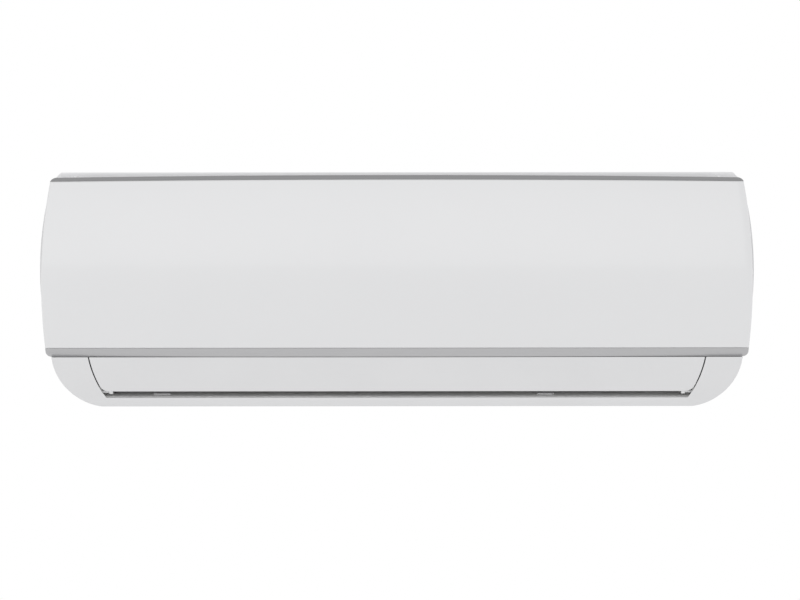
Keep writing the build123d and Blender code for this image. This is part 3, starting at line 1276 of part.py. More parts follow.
def terminal_block():
    """Screw terminals at the foot of the control box."""
    d0 = BOX_D0 + BOX_T
    low = BOX_H0 + TERMINAL_RISE
    body = block(BOX_X0 + TERMINAL_PITCH, BOX_X0 + (TERMINALS + 1) * TERMINAL_PITCH, d0, d0 + TERMINAL_T,
                 low, low + TERMINAL_TALL)
    for i in range(TERMINALS):
        x = BOX_X0 + (i + 1.5) * TERMINAL_PITCH
        half = TERMINAL_PITCH / 2 - TERMINAL_RIB
        body -= block(x - half, x + half, d0 + TERMINAL_FLOOR, d0 + TERMINAL_T + 1,
                      low + TERMINAL_END, low + TERMINAL_TALL - TERMINAL_END)
        body += peg(x, low + TERMINAL_TALL / 2, d0 + TERMINAL_FLOOR - 1, d0 + TERMINAL_FLOOR + 4, TERMINAL_SCREW_R)
    return body


def display_board():
    """Narrow board behind the casing: number display and push-button switch."""
    top = DISPLAY_BOARD_D + BOARD_T
    sunk = top - BOARD_T / 2
    x0 = DISPLAY_X - DISPLAY_BOARD_SIDE
    x1 = BUTTON_X + DISPLAY_BOARD_RIGHT
    high = BUTTON_H + DISPLAY_BOARD_TALL / 2
    board = block(x0, x1, DISPLAY_BOARD_D, top, BUTTON_H - DISPLAY_BOARD_TALL / 2, high)
    digits_front = case_front(BUTTON_H) - WALL - DIGITS_GAP
    board += block(DISPLAY_X - DIGITS_W / 2, DISPLAY_X + DIGITS_W / 2, sunk, digits_front,
                   BUTTON_H - DIGITS_TALL / 2, BUTTON_H + DIGITS_TALL / 2)
    half = SWITCH_W / 2
    board += block(BUTTON_X - half, BUTTON_X + half, sunk, top + SWITCH_T, BUTTON_H - half, BUTTON_H + half)
    for x in (x0 + STUD_INSET, x1 - STUD_INSET):
        board += peg(x, high - STUD_INSET, BOX_D1 - 0.5, DISPLAY_BOARD_D + 0.5, STUD_R)
    return board


def run_button():
    """Manual run button in its hole, with a retaining flange."""
    rear = DISPLAY_BOARD_D + BOARD_T + SWITCH_T + GAP + BUTTON_TRAVEL
    wall_back = case_front(BUTTON_H) - WALL
    cap = peg(BUTTON_X, BUTTON_H, rear, case_front(BUTTON_H) + 0.8, BUTTON_R)
    flange = peg(BUTTON_X, BUTTON_H, wall_back - 2.2, wall_back - 1.2, BUTTON_R + 2)
    return cap + flange


# ---- pipework and wall plate ---------------------------------------------------------------------------------------------

def pipe(points, outer, inner):
    """Copper tube along straight runs with equal bends."""
    route = FilletPolyline(*[Vector(x, -d, h) for x, d, h in points], radius=PIPE_BEND_R)
    start = Plane(origin=route @ 0, z_dir=route % 0)
    return sweep(start * (Circle(outer) - Circle(inner)), path=route)


def pipe_end(x, h, radius):
    """Flare union at the end of a pipe."""
    hexagon = RegularPolygon(radius * HEX_FLAT, 6, major_radius=False)
    union = rod(x - FLARE_L, x, PIPE_D, h, radius)
    return union + prism(Pos(PIPE_D, h) * hexagon, x - HEX_L, x)


def suction_pipe():
    """Suction pipe from the rear slab, down behind the motor and along the channel."""
    tube = slab_tubes("rear")[1][0]
    points = [(COIL_X1 + END_PLATE_T, tube.X, tube.Y), (SUCTION_X, tube.X, tube.Y), (SUCTION_X, PIPE_D, SUCTION_H),
              (SUCTION_END, PIPE_D, SUCTION_H)]
    return pipe(points, SUCTION_R, SUCTION_R - SUCTION_WALL)


def liquid_pipe():
    """Liquid pipe from the rear slab, down behind the motor and along the channel."""
    tube = slab_tubes("rear")[0][0]
    points = [(COIL_X1 + END_PLATE_T, tube.X, tube.Y), (LIQUID_X, tube.X, tube.Y), (LIQUID_X, PIPE_D, LIQUID_H),
              (LIQUID_END, PIPE_D, LIQUID_H)]
    return pipe(points, LIQUID_R, LIQUID_R - LIQUID_WALL)


def pipe_foam():
    """Foam sleeves on both pipes along the channel."""
    sleeves = []
    for h, radius, end in ((SUCTION_H, SUCTION_R, SUCTION_END), (LIQUID_H, LIQUID_R, LIQUID_END)):
        x0 = end + FOAM_START
        sleeve = rod(x0, FOAM_X1, PIPE_D, h, radius + FOAM_T) - rod(x0 - 1, FOAM_X1 + 1, PIPE_D, h, radius)
        sleeves.append(sleeve)
    return sleeves


def pipe_clamp():
    """Clamp that holds both sleeves against the front wall of the channel."""
    low = LIQUID_H - LIQUID_R - FOAM_T - CLAMP_RIM
    high = SUCTION_H + SUCTION_R + FOAM_T + CLAMP_RIM
    x1 = CLAMP_X + CLAMP_W
    clamp = block(CLAMP_X, x1, BACK_D + 0.5, CHANNEL_D, low, high)
    clamp -= rod(CLAMP_X - 1, x1 + 1, PIPE_D, SUCTION_H, SUCTION_R + FOAM_T)
    return clamp - rod(CLAMP_X - 1, x1 + 1, PIPE_D, LIQUID_H, LIQUID_R + FOAM_T)


def wall_plate():
    """Steel mounting plate: screw holes, pressed pads, hooks on top and catches below."""
    sheet = rectangle(-PLATE_HALF, PLATE_HALF, PLATE_H0, PLATE_H1)
    sheet = fillet(sheet.vertices(), radius=PLATE_CORNER_R)
    for x in (-SCREW_DX / 2, SCREW_DX / 2):
        for h in (PLATE_MID_H - SCREW_DH / 2, PLATE_MID_H + SCREW_DH / 2):
            sheet -= Pos(x, h) * Circle(SCREW_HOLE_R)
    for x in (-SLOT_DX, 0, SLOT_DX):
        sheet -= Pos(x, PLATE_MID_H) * SlotOverall(SLOT_L, SLOT_W)
    panel = plate(sheet, 0, PLATE_T)
    for x in (-PAD_FAR_X, -PAD_NEAR_X, PAD_NEAR_X, PAD_FAR_X):
        outer = PAD_W / 2
        inner = outer - PLATE_T
        low = PLATE_H0 + PAD_INSET
        high = PLATE_H1 - PAD_INSET
        panel += block(x - outer, x + outer, PLATE_T / 2, BACK_D - SEAT, low, high)
        panel -= block(x - inner, x + inner, -1, BACK_D - SEAT - PLATE_T, low + PLATE_T, high - PLATE_T)
    for x in (-HOOK_X, HOOK_X):
        tip = BACK_D + BACK_T + HOOK_REACH
        panel += block(x - HOOK_W / 2, x + HOOK_W / 2, PLATE_T / 2, tip, HOOK_H, HOOK_H + HOOK_T)
        panel += block(x - HOOK_W / 2, x + HOOK_W / 2, tip - HOOK_T, tip, HOOK_H, HOOK_H + HOOK_LIP)
    return panel


# ---- all pieces -------------------------------------------------------------------------------------------------------------

def pieces():
    """Every piece by node name."""
    parts = {
        "wall_plate": wall_plate(),
        "rear_base": rear_base(),
        "front_casing": front_casing(),
        "top_grille": top_grille(),
        "filter_rack": filter_rack(),
        "drain_pan": drain_pan(),
        "drain_plug": drain_plug(),
        "coil_slab_lower": coil_slab("lower"),
        "coil_slab_upper": coil_slab("upper"),
        "coil_slab_rear": coil_slab("rear"),
        "coil_end_plates": end_plates(),
        "coil_hairpins": hairpins(),
        "coil_return_bends": return_bends(),
        "suction_pipe": suction_pipe(),
        "liquid_pipe": liquid_pipe(),
        "suction_union": pipe_end(SUCTION_END, SUCTION_H, SUCTION_FLARE_R),
        "liquid_union": pipe_end(LIQUID_END, LIQUID_H, LIQUID_FLARE_R),
        "pipe_foam": pipe_foam(),
        "pipe_clamp": pipe_clamp(),
        "fan_drum": fan_drum(),
        "fan_shaft": fan_shaft(),
        "fan_bearing": fan_bearing(),
        "fan_motor": fan_motor(),
        "motor_strap": motor_strap(),
        "control_box": control_box(),
        "control_box_cover": control_box_cover(),
        "circuit_board": circuit_board(),
        "terminal_block": terminal_block(),
        "display_board": display_board(),
        "display_lens": display_lens(),
        "run_button": run_button(),
        "louver": louver(),
        "louver_motor": louver_motor(),
        "casing_screws": casing_screws(),
        "screw_caps": screw_caps(),
        "front_panel": front_panel(),
        "top_strip": cover_piece(HEIGHT - PANEL_TOP_DROP, HEIGHT, STRIP_TOP_DEPTH),
        "bottom_strip": cover_piece(0, PANEL_FOOT_H, PANEL_RIM),
        "tie_bar_left": tie_bar(0),
        "tie_bar_right": tie_bar(1),
    }
    for side, (x0, x1) in zip(("left", "right"), filter_spans()):
        parts["filter_frame_" + side] = filter_frame(x0, x1)
        parts["filter_mesh_" + side] = filter_mesh(x0, x1)
    for i, (x, group) in enumerate(vane_places()):
        side = ("left", "right")[group]
        parts["vane_" + side + "_" + str(i % VANES + 1)] = vane(x)
    return parts


def write_parts():
    """Write one STEP per node, with the origin at the middle of the wall plate's back."""
    os.makedirs("parts", exist_ok=True)
    for name, piece in pieces().items():
        solids = []
        for shape in piece if isinstance(piece, list) else [piece]:
            solids += shape.solids()
        whole = solids[0] if len(solids) == 1 else Compound(children=solids)
        export_step(whole.moved(Location((0, 0, -PLATE_MID_H))), "parts/" + name + ".step")


write_parts()
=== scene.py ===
import json
import math

import bmesh
import bpy
import numpy as np
from mathutils import Matrix, Vector


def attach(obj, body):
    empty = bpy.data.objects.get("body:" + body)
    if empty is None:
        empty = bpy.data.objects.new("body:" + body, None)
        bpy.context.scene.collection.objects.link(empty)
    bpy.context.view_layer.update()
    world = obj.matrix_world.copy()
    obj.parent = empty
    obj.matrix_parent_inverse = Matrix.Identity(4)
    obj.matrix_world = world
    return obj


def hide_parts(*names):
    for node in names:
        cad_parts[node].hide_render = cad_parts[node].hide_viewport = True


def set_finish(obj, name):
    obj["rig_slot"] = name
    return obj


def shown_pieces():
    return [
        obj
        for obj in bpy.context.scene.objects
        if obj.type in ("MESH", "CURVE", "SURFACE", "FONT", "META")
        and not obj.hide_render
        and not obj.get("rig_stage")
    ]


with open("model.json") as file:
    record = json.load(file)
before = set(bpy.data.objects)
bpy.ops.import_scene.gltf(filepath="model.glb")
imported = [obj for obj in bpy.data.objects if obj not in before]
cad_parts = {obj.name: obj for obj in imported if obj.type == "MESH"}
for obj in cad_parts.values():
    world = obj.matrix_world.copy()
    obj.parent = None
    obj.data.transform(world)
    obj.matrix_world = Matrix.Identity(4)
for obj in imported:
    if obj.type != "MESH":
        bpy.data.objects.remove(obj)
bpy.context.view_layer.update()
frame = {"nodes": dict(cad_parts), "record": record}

# Indoor unit of a split air conditioner.  Sizes are in millimetres: x runs across from the
# middle, d out from the wall and h up from the lowest edge.  place() turns them into metres.
# A pair is (d, h), a side view, unless its comment says (x, h), the view from the front.
MM = 0.001                  # metres in a millimetre
HALF = 482.5                # half the width
HEIGHT = 319.0
DEPTH = 215.0
PLATE_MID_H = 190.0         # middle of the wall plate, where the frame has its zero height
SIDES = (("left", -1), ("right", 1))
GAP = 0.3                   # between a moving piece and its neighbour
PIN_PAST = 1.0              # pin past the wall or ear that it turns in

# Cover.
BOW = 6.0                   # ends of the cover behind its middle
BELLY_H = 168.0             # proudest line
PANEL_FOOT = (DEPTH - 6.0, 80.0)
PANEL_TOP = (DEPTH - 18.0, HEIGHT - 12.0)
STRIP_FOOT = (DEPTH - 11.0, 68.6)
STRIP_TOP = (DEPTH - 24.0, HEIGHT - 6.4)
SIDE_FOOT = (HALF - 6.8, PANEL_FOOT[1])         # (x, h): side of the panel
SIDE_MID = (HALF - 2.0, 186.5)
SIDE_TOP = (HALF - 12.5, PANEL_TOP[1])
FOOT_END = (HALF - 15.5, STRIP_FOOT[1])         # (x, h): round corner of the lower strip
FOOT_TURN = (HALF - 7.3, 74.3)
FOOT_BULGE = (12 / 17, 0.32)                    # shares of the way across and up it
TOP_END = (HALF - 21.5, STRIP_TOP[1])           # (x, h): round corner of the upper strip
TOP_BULGE = (0.3125, 0.6875)
ARCH_H = (200.0, PANEL_TOP[1], STRIP_TOP[1])
ARCH_RISE = (0.0, 1.3, 1.75)                    # lift of the middle at those heights
PANEL_SKIN = 3.0
PANEL_RIM = 6.0
PANEL_ROLL = 1.6            # radius of the rolled edge
FOOT_STRIP_ROLL = 0.5
TOP_STRIP_ROLL = 0.6
TOP_STRIP_DEPTH = 4.0
STRIP_SEAM = 0.15           # between the panel and a strip
TRIM_DROP = 0.3             # the lower strip hangs below its solid, to close the gap under it
COVER_ACROSS = 96           # points across
PANEL_ROWS = 44
FOOT_STRIP_ROWS = 18
TOP_STRIP_ROWS = 10

# Hinge arms and catches of the panel.
HINGE = (DEPTH - 39.0, HEIGHT - 10.0)
HINGE_PIN_R = 2.5
HINGE_PIN_CHAMFER = 0.6
HINGE_PIN_ROOT = 0.5        # pin's root inside the arm
EAR_X = HALF - 47.0
EAR_T = 3.0
ARM_T = 3.0
ARM_R = 4.5
ARM_FRONT = ((13.5, -ARM_R), (14.5, -2.5), (10.0, -2.3), (4.0, 3.3))    # from the hinge
CATCH_X = 300.0
CATCH_H = 92.0
CATCH_W = 14.0
CATCH_T = 2.4
CATCH_TIP_D = 192.9
CATCH_ROOT_D = 205.5
CATCH_NOSE = (1.6, 0.9)     # slant of the tip's upper edge, along and down

# Louver.
LIP = (DEPTH - 39.5, 12.4)
LEDGE = (DEPTH - 12.0, 67.8)
FACE_BULGE = 4.4            # blade's face ahead of the straight line from lip to ledge
LOUVER_FOOT_H = 21.0
LOUVER_MID_H = 43.4
LOUVER_TOP_H = 67.8
LOUVER_FOOT_X = HALF - 83.0
LOUVER_MID_X = HALF - 72.8
LOUVER_TOP_X = HALF - 66.0
LOUVER_CORNER_R = 14.0
LOUVER_T = 3.0
LOUVER_ROLL = 0.9
LOUVER_ACROSS = 72          # points across
LOUVER_ROWS = 30
PIVOT = (DEPTH - 39.0, 21.0)
LOUVER_PIN_R = 2.0
LOUVER_PIN_CHAMFER = 0.5
LOUVER_PIN_ROOT = 1.0       # pin's root inside the lug
LUG_R = 3.6
LUG_T = 5.0
LUG_FRONT = ((6.2, 2.0), (13.6, 13.6), (10.0, 16.0))                    # from the pivot
LUG_INSET = 10.0            # lug from the duct's side wall
SPINE = ((LUG_R, 8.0), (10.3, 8.0), (12.1, 11.0), (LUG_R, 11.0))        # from the pivot
SPINE_INSET = 10.0          # spine from the lug
SPINE_BEVEL = 0.1
DUCT_HALF = 401.0
DUCT_WALL = 3.0

# Coil.
COIL_X = (-392.5, 322.0)
FIN_PITCH = 2.0
FIN_T = 0.35
FIN_POINTS = 7              # along each long edge of a fin
SLAB_T = 24.0
SLABS = {
    "coil_slab_lower": ((174.0, 106.0), (174.0, 206.0)),
    "coil_slab_upper": ((166.0, 214.0), (126.0, 261.0)),
    "coil_slab_rear": ((46.0, 194.0), (104.0, 262.0)),
}

# Filters.
FILTER_D = 194.0
FILTER_FOOT_H = 114.0
FILTER_BEND_H = 222.0
FILTER_BEND_R = 40.0
FILTER_TOP_H = 293.8
FILTER_TOP_R = 30.0
FILTER_TAIL = 43.0
FILTER_RISE = math.radians(30.0)
FILTER_T = 3.5
FILTER_SPANS = {"left": (-396.5, -43.25), "right": (-27.25, 326.0)}
BEND_POINTS = 10
NET_T = 0.8
NET_INSET = 2.0             # net's edge inside its frame's
NET_ACROSS = 8              # points across
NET_PITCH = 1.1             # from thread to thread
NET_OPEN_TO = 0.62          # height of the weave, of 1, up to which it is open

# Looks that follow a place on the unit.
# Painted light: from this height up the casing is painted paler, over its recessed top front that
# would otherwise be in shade.
PAINTED_LIGHT_H = 278.0             # where the casing starts to grow paler
PAINTED_LIGHT_TALL = 35.0
BOARD_FACE_D = 151.8        # face of the main board, behind what is mounted on it


# ---- meshes --------------------------------------------------------------------------------------

SMOOTH_ANGLE = 35.0         # degrees, past which an edge stays sharp
BEVEL_ANGLE = 40.0          # degrees, past which an edge is rounded
EDGE_BEVEL = 0.3
ROLL_POINTS = 6             # over a rolled edge
ROUND_POINTS = 32           # round a pin
MERGE_WITHIN = 1e-6         # metres
DEGENERATE_WITHIN = 1e-7


def place(x, d, h):
    """Points in metres from millimetres across, out from the wall and up."""
    x, d, h = np.broadcast_arrays(np.asarray(x, float), d, h)
    return np.stack([x, -d, h - PLATE_MID_H], -1) * MM


def cells(rows, cols, first=0, closed=False):
    """Quads of a grid: each joins point (i, j) to its right, diagonal and upper neighbours."""
    index = first + np.arange(rows * cols).reshape(rows, cols)
    if closed:
        index = np.hstack([index, index[:, :1]])
    corners = [index[:-1, :-1], index[:-1, 1:], index[1:, 1:], index[1:, :-1]]
    return np.stack(corners, -1).reshape(-1, 4)


def border(rows, cols, first=0):
    """Indices round the edge of a grid, once about."""
    index = first + np.arange(rows * cols).reshape(rows, cols)
    return np.concatenate([index[0], index[1:, -1], index[-1, -2::-1], index[-2:0:-1, 0]])


def between_rings(a, b):
    """Quads that join two closed rings of points, each to its fellow."""
    return np.stack([a, np.roll(a, -1), np.roll(b, -1), b], -1)


def over_ring(size):
    """Quads over a long flat ring, each from one of its two runs across to the other."""
    run = np.arange(size // 2 - 1)
    return np.stack([run, run + 1, size - 2 - run, size - 1 - run], -1)


def piece(name, points, faces, body, slot, merge=True, outwards=True):
    """Mesh object from points and faces, riding on a body.  Its doubles are merged and its
    normals turned outwards, unless it is made without."""
    mesh = bpy.data.meshes.new(name)
    corners = [list(map(int, face)) for face in faces]
    mesh.from_pydata(np.asarray(points).reshape(-1, 3).tolist(), [], corners)
    work = bmesh.new()
    work.from_mesh(mesh)
    if merge:
        bmesh.ops.remove_doubles(work, verts=work.verts, dist=MERGE_WITHIN)
        bmesh.ops.dissolve_degenerate(work, edges=work.edges, dist=DEGENERATE_WITHIN)
    if outwards:
        bmesh.ops.recalc_face_normals(work, faces=work.faces)
    work.to_mesh(mesh)
    work.free()
    mesh.shade_smooth()
    mesh.set_sharp_from_angle(angle=math.radians(SMOOTH_ANGLE))
    obj = bpy.data.objects.new(name, mesh)
    bpy.context.scene.collection.objects.link(obj)
    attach(obj, body)
    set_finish(obj, slot)
    return obj


def soften(obj, width):
    """Rounded edges, width in millimetres."""
    rounded = obj.modifiers.new("rounded", "BEVEL")
    rounded.width = width * MM
    rounded.segments = 2
    rounded.limit_method = "ANGLE"
    rounded.angle_limit = math.radians(BEVEL_ANGLE)


def extruded(name, outline, x0, x1, body, slot, bevel=EDGE_BEVEL):
    """Prism of a side-view outline between two planes across, with a small rounded edge."""
    outline = np.asarray(outline, float)
    ends = np.concatenate([place(x, outline[:, 0], outline[:, 1]) for x in sorted((x0, x1))])
    ring = np.arange(len(outline))
    other = ring + len(outline)
    obj = piece(name, ends, [*between_rings(ring, other), ring, other[::-1]], body, slot)
    soften(obj, bevel)
    return obj


def pin(name, x0, x1, radius, chamfer, centre, body, slot):
    """Round pin across the unit with a chamfer at both ends: its profile, in pairs of x and
    radius, swept through a turn about its axis."""
    low, high = sorted((x0, x1))
    end = radius - chamfer
    profile = np.array([(low, end), (low + chamfer, radius), (high - chamfer, radius), (high, end)])
    angle = np.linspace(0, 2 * math.pi, ROUND_POINTS, endpoint=False)
    x, away = profile[:, :1], profile[:, 1:]
    points = place(x, centre[0] + away * np.cos(angle), centre[1] + away * np.sin(angle))
    ring = np.arange(ROUND_POINTS)
    last = ring + (len(profile) - 1) * ROUND_POINTS
    faces = [*cells(len(profile), ROUND_POINTS, closed=True), ring, last]
    return piece(name, points, faces, body, slot)


def arm_outline(centre, radius, first, last, steps, front):
    """Side view of an arm: an arc round its axis, from one angle in degrees to another, and
    then the points of its front, given from the axis."""
    turn = np.radians(np.linspace(first, last, steps + 1))
    hub = radius * np.stack([np.cos(turn), np.sin(turn)], -1)
    return np.concatenate([hub, front]) + centre


def edge_law(roll, rim):
    """Border of a lid: up the straight rim, then over a quarter round on to the face.
    Gives the distance in from the edge, r(1 - cos), and the setback, r(1 - sin)."""
    turn = np.linspace(0, math.pi / 2, ROLL_POINTS)
    inward = np.concatenate([[0.0], roll * (1 - np.cos(turn))])
    setback = np.concatenate([[rim], roll * (1 - np.sin(turn))])
    return inward, setback


def lid(name, half_width, depth, low, high, rows, across, roll, rim, skin, body, slot):
    """Closed cover.  Across, x is a share of the half width at each height, less the inset of
    its edge; up, the height runs from low to high by way of the rows.  A point lies behind the
    face by the larger of its two edge setbacks.  The inner side is the same grid kept a skin
    inside, or the rim's depth where the cover is solid."""
    inward, setback = edge_law(roll, rim)
    share = np.linspace(-1, 1, across)[1:-1]
    side = np.concatenate([-np.ones(len(inward)), share, np.ones(len(inward))])
    inset = np.concatenate([inward, np.full(len(share), roll), inward[::-1]])
    back_across = np.concatenate([setback, np.zeros(len(share)), setback[::-1]])
    rows = rows[(rows > low + roll) & (rows < high - roll)]
    h = np.concatenate([low + inward, rows, (high - inward)[::-1]])[:, None]
    back_up = np.concatenate([setback, np.zeros(len(rows)), setback[::-1]])[:, None]
    x = side * (half_width(h) - inset)
    back = np.maximum(back_across, back_up)
    h = np.broadcast_to(h, x.shape)
    outer = arched(x, depth(x, h) - back, h)
    if skin is None:
        inner = arched(x, depth(x, h) - rim, h)
    else:
        h_in = np.clip(h, low + skin, high - skin)
        limit = half_width(h_in) - skin
        x_in = np.clip(x, -limit, limit)
        inner = arched(x_in, depth(x_in, h_in) - np.maximum(back, skin), h_in)
    grid = x.shape
    wall = between_rings(border(*grid), border(*grid, x.size))
    faces = np.concatenate([cells(*grid), cells(*grid, x.size)[:, ::-1], wall])
    return piece(name, np.stack([outer, inner]), faces, body, slot)


# ---- shapes of the cover and the louver -------------------------------------------------------------

def circle_through(a, b, c):
    """Centre and radius of the circle through three points, from two right bisectors."""
    a, b, c = (np.array(p, float) for p in (a, b, c))
    rows = np.array([b - a, c - a])
    centre = np.linalg.solve(rows, (rows * (np.array([a + b, a + c]) / 2)).sum(1))
    return centre, float(np.hypot(*(a - centre)))


def on_arc(h, arc):
    """Far side of a circle at a height: its centre plus the root of r2 minus s2."""
    centre, radius = arc
    return centre[0] + np.sqrt(np.maximum(radius ** 2 - (h - centre[1]) ** 2, 0.0))


def part_way(start, end, share):
    """Point between two others, by its shares of the way across and up."""
    return tuple(a + (b - a) * s for a, b, s in zip(start, end, share))


def ahead_of_middle(start, end, bulge):
    """Point that stands square off the middle of the line between two others."""
    start, end = np.array(start), np.array(end)
    line = end - start
    return (start + end) / 2 + np.array([line[1], -line[0]]) / np.hypot(*line) * bulge


FACE_ARC = circle_through(PANEL_FOOT, (DEPTH, BELLY_H), PANEL_TOP)
SIDE_ARC = circle_through(SIDE_FOOT, SIDE_MID, SIDE_TOP)
FOOT_ARC = circle_through(FOOT_END, part_way(FOOT_END, FOOT_TURN, FOOT_BULGE), FOOT_TURN)
TOP_ARC = circle_through(SIDE_TOP, part_way(SIDE_TOP, TOP_END, TOP_BULGE), TOP_END)
BLADE_ARC = circle_through(LIP, ahead_of_middle(LIP, LEDGE, FACE_BULGE), LEDGE)
LOUVER_ARC = circle_through(
    (LOUVER_FOOT_X, LOUVER_FOOT_H), (LOUVER_MID_X, LOUVER_MID_H), (LOUVER_TOP_X, LOUVER_TOP_H))


def arched(x, d, h):
    """Lift of the cover's top edge: a parabola across, growing with height from nothing."""
    rise = np.interp(h, ARCH_H, ARCH_RISE)
    return place(x, d, h + rise * (1 - 2 * (x / HALF) ** 2))


def bowed(x, d):
    """The section turned about a far upright line: the root of r2 minus x2, less the offset."""
    far = HALF * HALF / (2 * BOW) - DEPTH
    return np.sqrt((d + far) ** 2 - x ** 2) - far


def cover_depth(x, h):
    """Distance out of the cover's face: slanted strips above and below one round panel."""
    low = np.interp(h, [STRIP_FOOT[1], PANEL_FOOT[1]], [STRIP_FOOT[0], PANEL_FOOT[0]])
    top = np.interp(h, [PANEL_TOP[1], STRIP_TOP[1]], [PANEL_TOP[0], STRIP_TOP[0]])
    middle = on_arc(h, FACE_ARC)
    return bowed(x, np.where(h < PANEL_FOOT[1], low, np.where(h > PANEL_TOP[1], top, middle)))


def panel_half(h):
    """Half width of the panel: one long arc."""
    return on_arc(h, SIDE_ARC)


def foot_strip_half(h):
    """Half width of the lower strip: a round corner, then a short straight side."""
    corner = on_arc(np.minimum(h, FOOT_TURN[1]), FOOT_ARC)
    straight = np.interp(h, [FOOT_TURN[1], SIDE_FOOT[1]], [FOOT_TURN[0], SIDE_FOOT[0]])
    return np.where(h < FOOT_TURN[1], corner, straight)


def top_strip_half(h):
    """Half width of the upper strip: a round corner."""
    return on_arc(h, TOP_ARC)


def louver_half(h):
    """Half width of the louver: a long arc, with a round of given radius into the lower edge."""
    centre, radius = LOUVER_ARC
    reach = radius - LOUVER_CORNER_R
    corner_h = LOUVER_FOOT_H + LOUVER_CORNER_R
    corner_x = centre[0] + math.sqrt(reach ** 2 - (corner_h - centre[1]) ** 2)
    touch = centre[1] + (corner_h - centre[1]) * radius / reach
    corner = on_arc(h, ((corner_x, corner_h), LOUVER_CORNER_R))
    return np.where(h < touch, corner, on_arc(h, LOUVER_ARC))


def blade_depth(x, h):
    """Distance out of the louver's face: one arc from the lip to the ledge, the same all along."""
    return on_arc(h, BLADE_ARC) + 0 * x


def make_panel():
    """Front panel with its hinge arms, pins and catches."""
    rows = np.linspace(PANEL_FOOT[1] + 2, PANEL_TOP[1] - 2, PANEL_ROWS)
    panel = lid("panel_shell", panel_half, cover_depth, PANEL_FOOT[1], PANEL_TOP[1], rows,
                COVER_ACROSS, PANEL_ROLL, PANEL_RIM, PANEL_SKIN, "panel", "panel_gloss")
    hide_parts("front_panel")
    arm = arm_outline(HINGE, ARM_R, first=90, last=270, steps=12, front=ARM_FRONT)
    low, high = CATCH_H - CATCH_T / 2, CATCH_H + CATCH_T / 2
    along, down = CATCH_NOSE
    catch = [(CATCH_TIP_D, low), (CATCH_ROOT_D, low), (CATCH_ROOT_D, high),
             (CATCH_TIP_D + along, high), (CATCH_TIP_D, high - down)]
    for label, side in SIDES:
        ear = side * (EAR_X + EAR_T / 2)
        near = ear - side * (EAR_T / 2 + GAP)
        tip = ear + side * (EAR_T / 2 + PIN_PAST)
        middle = side * CATCH_X
        extruded("panel_arm_" + label, arm, near, near - side * ARM_T, "panel", "panel_gloss")
        pin("panel_pin_" + label, tip, near - side * HINGE_PIN_ROOT, HINGE_PIN_R,
            HINGE_PIN_CHAMFER, HINGE, "panel", "panel_gloss")
        extruded("panel_catch_" + label, catch, middle - CATCH_W / 2, middle + CATCH_W / 2,
                 "panel", "panel_gloss")


def make_strips():
    """The two silver strips, below and above the panel."""
    low, high = STRIP_FOOT[1] - TRIM_DROP, PANEL_FOOT[1] - STRIP_SEAM
    rows = np.linspace(STRIP_FOOT[1] + 0.2, PANEL_FOOT[1] - 0.5, FOOT_STRIP_ROWS)
    foot = lid("bottom_trim", foot_strip_half, cover_depth, low, high, rows, COVER_ACROSS,
               FOOT_STRIP_ROLL, PANEL_RIM, None, "panel", "silver_trim")
    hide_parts("bottom_strip")
    low, high = PANEL_TOP[1] + STRIP_SEAM, STRIP_TOP[1]
    rows = np.linspace(PANEL_TOP[1] + 0.5, STRIP_TOP[1] - TOP_STRIP_ROLL, TOP_STRIP_ROWS)
    top = lid("top_trim", top_strip_half, cover_depth, low, high, rows, COVER_ACROSS,
              TOP_STRIP_ROLL, TOP_STRIP_DEPTH, None, "panel", "silver_trim")
    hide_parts("top_strip")


def make_louver():
    """Louver blade with its end lugs, pins and stiffening spine.  The blade's rows lie closest
    near its foot, where the corners are round."""
    low, high = LOUVER_FOOT_H + 1, LOUVER_TOP_H - 1
    rows = low + (high - low) * (1 - np.cos(np.linspace(0, math.pi / 2, LOUVER_ROWS)))
    blade = lid("louver_blade", louver_half, blade_depth, LOUVER_FOOT_H, LOUVER_TOP_H, rows,
                LOUVER_ACROSS, LOUVER_ROLL, LOUVER_T, None, "louver", "casing_plastic")
    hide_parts("louver")
    lug = arm_outline(PIVOT, LUG_R, first=135, last=315, steps=15, front=LUG_FRONT)
    half = DUCT_HALF - LUG_INSET
    tip = DUCT_HALF + DUCT_WALL + PIN_PAST
    for label, side in SIDES:
        extruded("louver_lug_" + label, lug, side * half, side * (half - LUG_T),
                 "louver", "casing_plastic")
        pin("louver_pin_" + label, side * (half - LOUVER_PIN_ROOT), side * tip, LOUVER_PIN_R,
            LOUVER_PIN_CHAMFER, PIVOT, "louver", "casing_plastic")
    half -= SPINE_INSET
    extruded("louver_spine", np.add(SPINE, PIVOT), -half, half, "louver", "casing_plastic",
             bevel=SPINE_BEVEL)


# ---- coil fins and filter nets ----------------------------------------------------------------------

def make_fins():
    """Fin packs: thin plates a pitch apart, each the slanted rectangle of its slab."""
    last = COIL_X[1] - FIN_T
    count = int((last - COIL_X[0]) / FIN_PITCH) + 1
    sheets = np.linspace(COIL_X[0], last, count)[:, None, None] + np.array([[0.0], [FIN_T]])
    size = 2 * FIN_POINTS
    ring = np.arange(size)
    plate = np.concatenate([
        between_rings(ring, ring + size), over_ring(size)[:, ::-1], over_ring(size) + size])
    faces = (plate + (np.arange(count) * 2 * size)[:, None, None]).reshape(-1, 4)
    for node, (low, high) in SLABS.items():
        rise = np.subtract(high, low)
        across = np.array([-rise[1], rise[0]]) / np.hypot(*rise) * SLAB_T / 2
        middle = low + rise * np.linspace(0, 1, FIN_POINTS)[:, None]
        outline = np.concatenate([middle - across, (middle + across)[::-1]])
        points = place(sheets, outline[:, 0], outline[:, 1])
        fins = piece(node.replace("slab", "fins"), points, faces, "chassis", "fin_aluminium",
                     merge=False, outwards=False)
        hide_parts(node)


